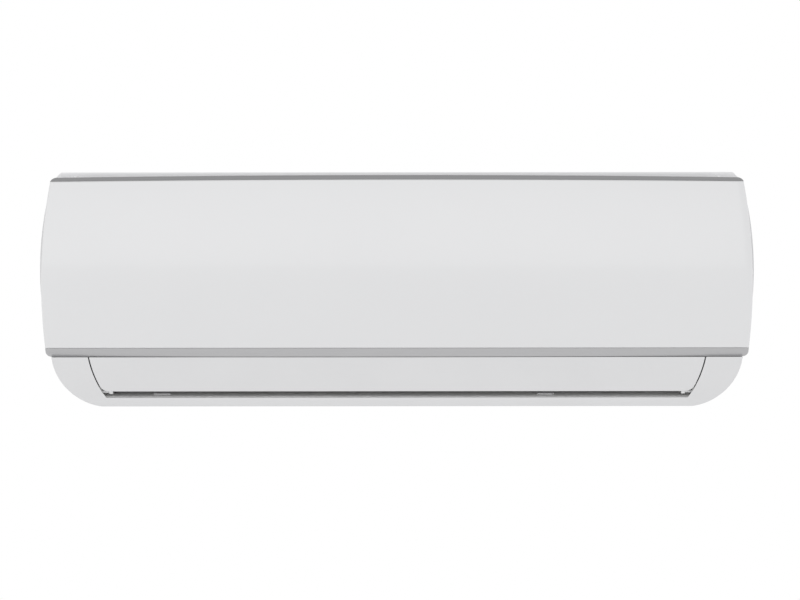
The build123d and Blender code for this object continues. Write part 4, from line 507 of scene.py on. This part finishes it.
def filter_line(inward):
    """Side view of a filter from foot to tail, moved inwards: a rise, a bend, a slope, a bend
    and a level tail, as points."""
    r1, r2 = FILTER_BEND_R - inward, FILTER_TOP_R - inward
    centre = np.array([FILTER_D - FILTER_BEND_R, FILTER_BEND_H])
    turn = np.linspace(0, math.pi / 2 - FILTER_RISE, BEND_POINTS)
    bend = centre + r1 * np.stack([np.cos(turn), np.sin(turn)], -1)
    climb = FILTER_TOP_H - FILTER_TOP_R * (1 - math.cos(FILTER_RISE)) - FILTER_BEND_H
    climb -= FILTER_BEND_R * math.sin(turn[-1])
    run = np.array([-math.cos(FILTER_RISE), math.sin(FILTER_RISE)]) * climb / math.sin(FILTER_RISE)
    up = np.array([math.cos(turn[-1]), math.sin(turn[-1])])
    top_centre = bend[-1] + run - up * r2
    lean = np.linspace(math.pi / 2 - FILTER_RISE, math.pi / 2, BEND_POINTS)
    crest = top_centre + r2 * np.stack([np.cos(lean), np.sin(lean)], -1)
    tail = crest[-1] - np.array([FILTER_TAIL, 0.0])
    foot = np.array([[FILTER_D - inward, FILTER_FOOT_H]])
    return np.concatenate([foot, bend, crest, tail[None]])


def make_nets():
    """Filter nets: a thin closed sheet along the filter's line, with lengths in metres as its UV."""
    outer, inner = filter_line(FILTER_T - NET_T), filter_line(FILTER_T)
    run = np.concatenate([[0.0], np.cumsum(np.hypot(*np.diff(outer, axis=0).T))])
    loop = np.concatenate([outer, inner[::-1]])
    length = np.concatenate([run, run[::-1]])
    end = over_ring(len(loop))
    sheet = cells(NET_ACROSS, len(loop), closed=True)
    faces = np.concatenate([sheet, end, end + (NET_ACROSS - 1) * len(loop)])
    for side, (x0, x1) in FILTER_SPANS.items():
        x = np.linspace(x0 + NET_INSET, x1 - NET_INSET, NET_ACROSS)
        points = place(x[:, None], loop[:, 0], loop[:, 1])
        net = piece("filter_net_" + side, points, faces, "filter_" + side, "filter_net",
                    merge=False)
        spread = np.stack([np.repeat(x, len(loop)) - x0, np.tile(length, len(x))], -1) * MM
        layer = net.data.uv_layers.new(name="weave")
        corner = np.zeros(len(net.data.loops), np.int32)
        net.data.loops.foreach_get("vertex_index", corner)
        layer.data.foreach_set("uv", spread[corner].astype(np.float32).ravel())
        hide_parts("filter_mesh_" + side)


# ---- materials -------------------------------------------------------------------------------------

MIX_SHARE, MIX_FIRST, MIX_SECOND, MIX_RESULT = 0, 6, 7, 2       # a Mix node's colour sockets
BEVEL_SAMPLES = 6
EDGE_GAIN = 6.0             # how soon a rounded edge counts as one
PER_METRE = 1000.0          # millimetres in a metre


class Wire:
    """A node's output that can stand in a sum: each operator adds one Math node."""

    def __init__(self, tree, socket):
        self.tree = tree
        self.socket = socket

    def maths(self, operation, *operands):
        node = self.tree.nodes.new("ShaderNodeMath")
        node.operation = operation
        for socket, value in zip(node.inputs, operands):
            if isinstance(value, Wire):
                self.tree.links.new(value.socket, socket)
            else:
                socket.default_value = value
        return Wire(self.tree, node.outputs[0])

    def __add__(self, other):
        return self.maths("ADD", self, other)

    def __radd__(self, other):
        return self.maths("ADD", other, self)

    def __sub__(self, other):
        return self.maths("SUBTRACT", self, other)

    def __rsub__(self, other):
        return self.maths("SUBTRACT", other, self)

    def __mul__(self, other):
        return self.maths("MULTIPLY", self, other)

    def __rmul__(self, other):
        return self.maths("MULTIPLY", other, self)

    def __truediv__(self, other):
        return self.maths("DIVIDE", self, other)

    def __gt__(self, other):
        return self.maths("GREATER_THAN", self, other)

    def __lt__(self, other):
        return self.maths("LESS_THAN", self, other)

    def clamped(self):
        """The value held between 0 and 1."""
        return self.maths("MINIMUM", self.maths("MAXIMUM", self, 0.0), 1.0)


class Finish:
    """A material in the making.  node() adds any node; surface() ends in the shader."""

    def __init__(self, name, bevel):
        self.material = bpy.data.materials.new(name)
        self.material.use_nodes = True
        self.tree = self.material.node_tree
        self.tree.nodes.clear()
        self.spot = self.node("TexCoord", output="Object")
        self.rounded = None
        if bevel:
            self.rounded = self.node("Bevel", {"samples": BEVEL_SAMPLES}, {"Radius": bevel * MM})

    def node(self, kind, settings=None, inputs=None, output=0):
        """Adds a node: its settings first, then the values or links of its inputs."""
        made = self.tree.nodes.new("ShaderNode" + kind)
        for key, value in (settings or {}).items():
            if key == "stops":
                made.color_ramp.elements[0].position = value[0][0]
                made.color_ramp.elements[0].color = (*value[0][1], 1)
                made.color_ramp.elements[1].position = value[-1][0]
                made.color_ramp.elements[1].color = (*value[-1][1], 1)
                for where, colour in value[1:-1]:
                    made.color_ramp.elements.new(where).color = (*colour, 1)
            else:
                setattr(made, key, value)
        for key, value in (inputs or {}).items():
            if isinstance(value, Wire):
                self.tree.links.new(value.socket, made.inputs[key])
            else:
                made.inputs[key].default_value = value
        return Wire(self.tree, made.outputs[output]) if made.outputs else None

    def noise(self, size, stretch=(1, 1, 1), detail=2.0):
        """Noise between 0 and 1 whose blobs are about size millimetres across."""
        scale = tuple(PER_METRE / size / s for s in stretch)
        at = self.node("Mapping", None, {"Vector": self.spot, "Scale": scale})
        return self.node("TexNoise", None, {"Vector": at, "Scale": 1.0, "Detail": detail})

    def blocks(self, per_metre, output="Distance"):
        """Irregular blocks, so many to the metre: the distance from each one's middle, or a
        colour of its own."""
        inputs = {"Vector": self.spot, "Scale": per_metre}
        return self.node("TexVoronoi", {"feature": "F1"}, inputs, output)

    def split(self, vector=None):
        """The three parts of a vector: of the place on the object, in metres, if none is given."""
        made = self.tree.nodes.new("ShaderNodeSeparateXYZ")
        self.tree.links.new((vector or self.spot).socket, made.inputs[0])
        return [Wire(self.tree, made.outputs[i]) for i in range(3)]

    def blend(self, share, first, second):
        """Colour between two, by a share."""
        made = self.tree.nodes.new("ShaderNodeMix")
        made.data_type = "RGBA"
        self.tree.links.new(share.socket, made.inputs[MIX_SHARE])
        for index, colour in ((MIX_FIRST, first), (MIX_SECOND, second)):
            if isinstance(colour, Wire):
                self.tree.links.new(colour.socket, made.inputs[index])
            else:
                made.inputs[index].default_value = (*colour, 1)
        return Wire(self.tree, made.outputs[MIX_RESULT])

    def edges(self):
        """About 0 on flat faces, rising along rounded edges: one less the two normals' product."""
        normal = self.node("NewGeometry", output="Normal")
        both = {0: self.rounded, 1: normal}
        product = self.node("VectorMath", {"operation": "DOT_PRODUCT"}, both, "Value")
        return ((1.0 - product) * EDGE_GAIN).clamped()

    def relief(self, height, depth):
        """Normal of a height field, depth in millimetres, over the rounded edges."""
        inputs = {"Height": height, "Distance": depth * MM, "Strength": 1.0}
        if self.rounded:
            inputs["Normal"] = self.rounded
        return self.node("Bump", None, inputs)

    def surface(self, **inputs):
        """Ends the material in one shader with the given inputs."""
        named = {key.replace("_", " "): value for key, value in inputs.items()}
        shader = self.node("BsdfPrincipled", None, named)
        self.node("OutputMaterial", None, {"Surface": shader})
        return self.material


def shade(colour, factor):
    """A colour made lighter or darker."""
    return tuple(min(1.0, c * factor) for c in colour)


def plastic(name, colour, roughness, grain=0.6, depth=0.015, bevel=0.5, tone=0.025, painted_top_light=0.0):
    """Moulded plastic: slow drift of tone, fine grain in the relief, duller edges, and a painted
    highlight that makes the rounded edges paler.
    A painted top light makes it paler, by that share in all, over a height just below the unit's top,
    where the casing's recessed top front would otherwise stand in shade."""
    finish = Finish(name, bevel)
    drift = finish.noise(size=90.0, detail=3.0)
    body = finish.blend(drift, shade(colour, 1 - tone), shade(colour, 1 + tone))
    edge = finish.edges()
    # Painted highlight: rounded edges are made paler, as if they caught the light.
    body = finish.blend(edge * 0.35, body, shade(colour, 1.06))
    # Painted light: the casing is made paler over its top front, standing in for light in that shaded
    # recess.
    if painted_top_light:
        foot = (PAINTED_LIGHT_H - PLATE_MID_H) * MM
        rise = ((finish.split()[2] - foot) / (PAINTED_LIGHT_TALL * MM)).clamped()
        body = finish.blend(rise, body, shade(colour, 1 + painted_top_light))
    speck = finish.noise(grain)
    smear = finish.noise(size=25.0, stretch=(3, 1, 1))
    dull = roughness + (smear - 0.5) * 0.08 + edge * 0.05
    return finish.surface(Base_Color=body, Roughness=dull, IOR=1.5,
                          Normal=finish.relief(speck, depth))


def gloss_panel(name):
    """Glossy white panel: soft orange peel, faint drift of tone and fine settled dust."""
    finish = Finish(name, bevel=0.6)
    drift = finish.noise(size=160.0, detail=3.0)
    body = finish.blend(drift, (0.775, 0.778, 0.788), (0.795, 0.797, 0.805))
    dust = (finish.noise(size=1.6, detail=4.0) > 0.70) * 0.03
    body = finish.blend(dust, body, (0.70, 0.69, 0.67))
    peel = finish.noise(size=7.0, detail=1.0)
    smear = finish.noise(size=60.0, stretch=(4, 1, 1))
    dull = 0.24 + (smear - 0.5) * 0.06 + dust
    return finish.surface(Base_Color=body, Roughness=dull, IOR=1.5, Coat_Weight=0.35,
                          Coat_Roughness=0.06, Normal=finish.relief(peel, depth=0.012))


def silver(name):
    """Silver lacquer: metal flakes a third of a millimetre across, drawn a little lengthwise.
    Above the middle of the wall plate, where the upper strip is, it is painted a darker grey: painted
    shade for a strip that faces upwards, away from the light."""
    finish = Finish(name, bevel=0.3)
    flake = finish.noise(size=0.35, detail=1.0)
    drawn = finish.noise(size=1.2, stretch=(30, 1, 1), detail=3.0)
    body = finish.blend(flake * 0.6 + drawn * 0.4, (0.44, 0.44, 0.447), (0.56, 0.56, 0.568))
    # Painted shade: the upper strip, which faces upwards, is made darker by its height.
    upper = finish.split()[2] > 0.0
    body = finish.blend(upper * 0.5, body, (0.06, 0.06, 0.062))
    dull = 0.34 + (drawn - 0.5) * 0.12
    return finish.surface(Base_Color=body, Metallic=0.8, Roughness=dull,
                          Normal=finish.relief(drawn, depth=0.006))


def zinc_sheet(name):
    """Galvanised sheet: zinc crystals some 9 mm across, each with its own tone and polish."""
    finish = Finish(name, bevel=0.3)
    tone = finish.split(finish.blocks(per_metre=110.0, output="Color"))[0]
    fine = finish.noise(size=0.8)
    body = finish.blend(tone * 0.8 + fine * 0.2, (0.55, 0.57, 0.59), (0.74, 0.75, 0.76))
    return finish.surface(Base_Color=body, Metallic=0.9, Roughness=0.32 + tone * 0.2,
                          Normal=finish.relief(fine, depth=0.01))


def beaded_foam(name):
    """Expanded foam tray: pressed beads about 3 mm across."""
    finish = Finish(name, bevel=0.4)
    bead = finish.blocks(per_metre=330.0)
    body = finish.blend(bead, (0.80, 0.80, 0.78), (0.68, 0.68, 0.66))
    dull = 0.75 + (finish.noise(size=5.0) - 0.5) * 0.1
    return finish.surface(Base_Color=body, Roughness=dull,
                          Normal=finish.relief(1.0 - bead, depth=0.12))


def rubber(name, colour, pore=0.7, depth=0.05):
    """Rubber or closed-cell foam: pores in the relief, chalky patches in the tone."""
    finish = Finish(name, bevel=0.3)
    patch = finish.noise(size=18.0, detail=4.0)
    body = finish.blend(patch, shade(colour, 0.9), shade(colour, 1.12))
    return finish.surface(Base_Color=body, Roughness=0.72 + patch * 0.15,
                          Normal=finish.relief(finish.noise(pore, detail=3.0), depth))


def fin_metal(name):
    """Aluminium fins with a pale blue-grey coat and a few bent, darker ones."""
    finish = Finish(name, bevel=0.0)
    place_across = finish.split()[0] * (PER_METRE / FIN_PITCH)
    bent = finish.node("TexNoise", {"noise_dimensions": "1D"},
                       {"W": place_across, "Scale": 1.0, "Detail": 0.0})
    cloud = finish.noise(size=20.0)
    body = finish.blend(bent * 0.6 + cloud * 0.4, (0.52, 0.57, 0.62), (0.76, 0.80, 0.84))
    return finish.surface(Base_Color=body, Metallic=0.85, Roughness=0.36 + cloud * 0.15,
                          Normal=finish.relief(finish.noise(size=1.5), depth=0.02))


def metal(name, bright, dark, roughness, size, stretch=(1, 1, 1)):
    """Bare or plated metal: tarnish clouds in tone and polish, drawn marks in the relief."""
    finish = Finish(name, bevel=0.2)
    cloud = finish.noise(size, detail=4.0)
    mark = finish.noise(size=0.4, stretch=stretch)
    body = finish.blend(cloud, bright, dark)
    dull = roughness + cloud * 0.15 + mark * 0.05
    return finish.surface(Base_Color=body, Metallic=1.0, Roughness=dull,
                          Normal=finish.relief(mark, depth=0.01))


def circuit(name):
    """Lacquered board with darker tracks; what stands off it is black, tan or blue by block."""
    finish = Finish(name, bevel=0.2)
    x, y, z = finish.split()
    pick = finish.split(finish.blocks(per_metre=45.0, output="Color"))[0]
    black, tan, blue = (0.05, 0.05, 0.06), (0.62, 0.52, 0.33), (0.08, 0.16, 0.42)
    stops = [(0.0, (0.03, 0.03, 0.035)), (0.4, black), (0.55, tan), (0.8, blue)]
    parts = finish.node("ValToRGB", {"stops": stops}, {"Fac": pick})
    track = finish.node("TexBrick", {"offset": 0.5}, {
        "Vector": finish.node("CombineXYZ", None, {"X": x, "Y": z}),
        "Color1": (0.03, 0.22, 0.10, 1), "Color2": (0.04, 0.26, 0.12, 1),
        "Mortar": (0.10, 0.36, 0.18, 1), "Scale": 160.0, "Mortar Size": 0.02})
    raised = y < -BOARD_FACE_D * MM
    body = finish.blend(raised, track, parts)
    dull = 0.35 + raised * 0.2 + finish.noise(size=3.0) * 0.05
    return finish.surface(Base_Color=body, Roughness=dull,
                          Normal=finish.relief(finish.noise(size=0.9), depth=0.02))


def net_weave(name):
    """Woven net: round threads each way at an even pitch, open between them.  A thread's
    height is one less the size of a sine that is 0 along its middle."""
    finish = Finish(name, bevel=0.0)
    threads = []
    for length in finish.split(finish.node("UVMap", {"uv_map": "weave"}))[:2]:
        turn = length * (math.pi / (NET_PITCH * MM))
        wave = turn.maths("SINE", turn)
        threads.append(1.0 - wave.maths("ABSOLUTE", wave))
    height = threads[0].maths("MAXIMUM", *threads)
    dust = finish.noise(size=30.0, detail=4.0)
    body = finish.blend(dust, (0.16, 0.17, 0.18), (0.30, 0.30, 0.30))
    return finish.surface(Base_Color=body, Roughness=0.6 + dust * 0.1,
                          Alpha=height > NET_OPEN_TO, Normal=finish.relief(height, depth=0.2))


def smoked(name):
    """Smoked window: dark glossy plastic with a faint satin mask."""
    finish = Finish(name, bevel=0.2)
    haze = finish.noise(size=4.0)
    body = finish.blend(haze, (0.20, 0.21, 0.225), (0.24, 0.25, 0.265))
    return finish.surface(Base_Color=body, Roughness=0.16 + haze * 0.05, Coat_Weight=0.5,
                          Coat_Roughness=0.05, Normal=finish.relief(haze, depth=0.005))


# What each slot of the record is made of, with the colours and sizes of its finish.
FINISHES = {
    "galvanised_sheet": (zinc_sheet, {}),
    "base_plastic": (plastic, {
        "colour": (0.82, 0.82, 0.815), "roughness": 0.5, "grain": 1.0, "depth": 0.03}),
    # The casing carries a painted light that makes its top front paler.
    "casing_plastic": (plastic, {
        "colour": (0.750, 0.751, 0.760), "roughness": 0.38, "grain": 0.7, "bevel": 0.8,
        "painted_top_light": 0.2}),
    "panel_gloss": (gloss_panel, {}),
    "silver_trim": (silver, {}),
    "pan_foam": (beaded_foam, {}),
    "plug_rubber": (rubber, {"colour": (0.05, 0.05, 0.05)}),
    "fin_aluminium": (fin_metal, {}),
    "copper": (metal, {
        "bright": (0.80, 0.42, 0.26), "dark": (0.48, 0.24, 0.14), "roughness": 0.24,
        "size": 14.0}),
    "brass_fitting": (metal, {
        "bright": (0.80, 0.62, 0.30), "dark": (0.62, 0.46, 0.20), "roughness": 0.22,
        "size": 8.0, "stretch": (1, 12, 12)}),
    "foam_sleeve": (rubber, {"colour": (0.74, 0.74, 0.72), "pore": 0.9, "depth": 0.15}),
    "motor_resin": (plastic, {
        "colour": (0.07, 0.07, 0.075), "roughness": 0.55, "grain": 1.6, "depth": 0.05,
        "tone": 0.2}),
    "board_green": (circuit, {}),
    "terminal_plastic": (plastic, {
        "colour": (0.06, 0.06, 0.06), "roughness": 0.45, "tone": 0.15}),
    "smoked_lens": (smoked, {}),
    "motor_steel": (metal, {
        "bright": (0.72, 0.72, 0.72), "dark": (0.58, 0.58, 0.59), "roughness": 0.3,
        "size": 10.0, "stretch": (1, 14, 14)}),
    "screw_steel": (metal, {
        "bright": (0.70, 0.69, 0.64), "dark": (0.55, 0.54, 0.50), "roughness": 0.3,
        "size": 2.0}),
    "fan_plastic": (plastic, {
        "colour": (0.10, 0.105, 0.11), "roughness": 0.42, "grain": 0.5, "depth": 0.03,
        "bevel": 0.2, "tone": 0.12}),
    "button_plastic": (plastic, {
        "colour": (0.70, 0.70, 0.71), "roughness": 0.35, "bevel": 0.4}),
    "filter_frame_plastic": (plastic, {
        "colour": (0.33, 0.46, 0.57), "roughness": 0.4, "bevel": 0.3, "tone": 0.06}),
    "filter_net": (net_weave, {}),
    "vane_plastic": (plastic, {
        "colour": (0.68, 0.68, 0.675), "roughness": 0.42, "bevel": 0.3}),
}


def dress():
    """Gives every solid and every new piece the material of its slot."""
    by_slot = {slot: make(slot, **looks) for slot, (make, looks) in FINISHES.items()}
    slots = {row["node"]: row["material_slot"] for row in frame["record"]["subparts"]}
    for name, obj in frame["nodes"].items():
        obj.data.materials.clear()
        obj.data.materials.append(by_slot[slots[name]])
    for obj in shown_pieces():
        if "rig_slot" in obj:
            obj.data.materials.clear()
            obj.data.materials.append(by_slot[obj["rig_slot"]])


# ---- stage, light and camera, in metres -------------------------------------------------------------

FLOOR_Z = -2.4
FLOOR_HALF = 9.0
FLOOR_GLOW = 0.25           # light of its own, which keeps it pale
WORLD_SEEN = 1.0            # strength to the eye and in gloss and glass
WORLD_LIGHT = 0.69          # strength on the object
LAMP_AIM = (0.0, -0.1, 0.0)
LAMPS = {
    "key": {"at": (-0.4, -3.2, 1.1), "width": 3.0, "tall": 1.6, "power": 15.0},
    "left_fill": {"at": (-2.4, -1.0, 0.2), "width": 1.4, "tall": 1.4, "power": 5.0},
    "right_fill": {"at": (2.4, -1.0, 0.2), "width": 1.4, "tall": 1.4, "power": 5.0},
}
CAMERA_AWAY = 4.6           # from the plane at REFERENCE_D out from the wall
REFERENCE_D = 0.200
FRAME_WIDTH = 1.0820        # what the picture spans in that plane
CAMERA_X = 0.0041
CAMERA_Z = -0.0451
CAMERA_ROLL = -0.05         # degrees
SENSOR = 36.0               # millimetres
SEE_TO = 100.0


def make_camera():
    """Camera straight before the unit, level, rolled by a few hundredths of a degree."""
    data = bpy.data.cameras.new("camera")
    data.sensor_width = SENSOR
    data.lens = SENSOR * CAMERA_AWAY / FRAME_WIDTH
    data.clip_end = SEE_TO
    camera = bpy.data.objects.new("camera", data)
    bpy.context.scene.collection.objects.link(camera)
    camera.location = (CAMERA_X, -(REFERENCE_D + CAMERA_AWAY), CAMERA_Z)
    level = Matrix.Rotation(math.radians(90), 4, "X")
    roll = Matrix.Rotation(math.radians(CAMERA_ROLL), 4, "Z")
    camera.rotation_mode = "QUATERNION"
    camera.rotation_quaternion = (level @ roll).to_quaternion()
    bpy.context.scene.camera = camera


def make_stage():
    """Pale floor far below, as under a unit hung on a wall; clear when seen from underneath."""
    signs = ((-1, -1), (1, -1), (1, 1), (-1, 1))
    corners = [(x * FLOOR_HALF, y * FLOOR_HALF, FLOOR_Z) for x, y in signs]
    mesh = bpy.data.meshes.new("floor")
    mesh.from_pydata(corners, [], [(0, 1, 2, 3)])
    floor = bpy.data.objects.new("floor", mesh)
    bpy.context.scene.collection.objects.link(floor)
    floor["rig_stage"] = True
    finish = Finish("floor_paint", bevel=0.0)
    cloud = finish.noise(size=400.0, detail=3.0)
    tone = finish.blend(cloud, (0.84, 0.84, 0.84), (0.87, 0.87, 0.87))
    paint = finish.node("BsdfPrincipled", None, {"Base Color": tone, "Roughness": 0.7})
    glow = finish.node("Emission", None, {"Color": (1, 1, 1, 1), "Strength": FLOOR_GLOW})
    lit = finish.node("AddShader", None, {0: paint, 1: glow})
    below = finish.node("NewGeometry", output="Backfacing")
    clear = finish.node("BsdfTransparent")
    both = finish.node("MixShader", None, {0: below, 1: lit, 2: clear})
    finish.node("OutputMaterial", None, {"Surface": both})
    floor.data.materials.append(finish.material)


def make_world():
    """White surroundings to the eye, to gloss and to glass, and an even, weaker light on the
    object."""
    world = bpy.data.worlds.new("studio")
    bpy.context.scene.world = world
    world.use_nodes = True
    tree = world.node_tree
    tree.nodes.clear()
    path = tree.nodes.new("ShaderNodeLightPath")
    camera, glossy, glass = (
        Wire(tree, path.outputs[f"Is {kind} Ray"]) for kind in ("Camera", "Glossy", "Transmission"))
    seen = (camera + glossy + glass).clamped()
    strength = seen * (WORLD_SEEN - WORLD_LIGHT) + WORLD_LIGHT
    background = tree.nodes.new("ShaderNodeBackground")
    background.inputs["Color"].default_value = (1, 1, 1, 1)
    tree.links.new(strength.socket, background.inputs["Strength"])
    out = tree.nodes.new("ShaderNodeOutputWorld")
    tree.links.new(background.outputs[0], out.inputs["Surface"])


def soft_box(name, at, width, tall, power):
    """Rectangular lamp at a point, facing the unit."""
    lamp = bpy.data.lights.new(name, "AREA")
    lamp.shape = "RECTANGLE"
    lamp.size = width
    lamp.size_y = tall
    lamp.energy = power
    obj = bpy.data.objects.new(name, lamp)
    bpy.context.scene.collection.objects.link(obj)
    obj.location = at
    obj.rotation_mode = "QUATERNION"
    obj.rotation_quaternion = (Vector(LAMP_AIM) - Vector(at)).to_track_quat("-Z", "Y")


def make_lights():
    """One broad lamp above the front, and a weaker one at each side."""
    for name, lamp in LAMPS.items():
        soft_box(name, **lamp)


bpy.context.scene.view_settings.view_transform = "Standard"
make_camera()
make_stage()
make_world()
make_lights()
make_panel()
make_strips()
make_louver()
make_fins()
make_nets()
dress()
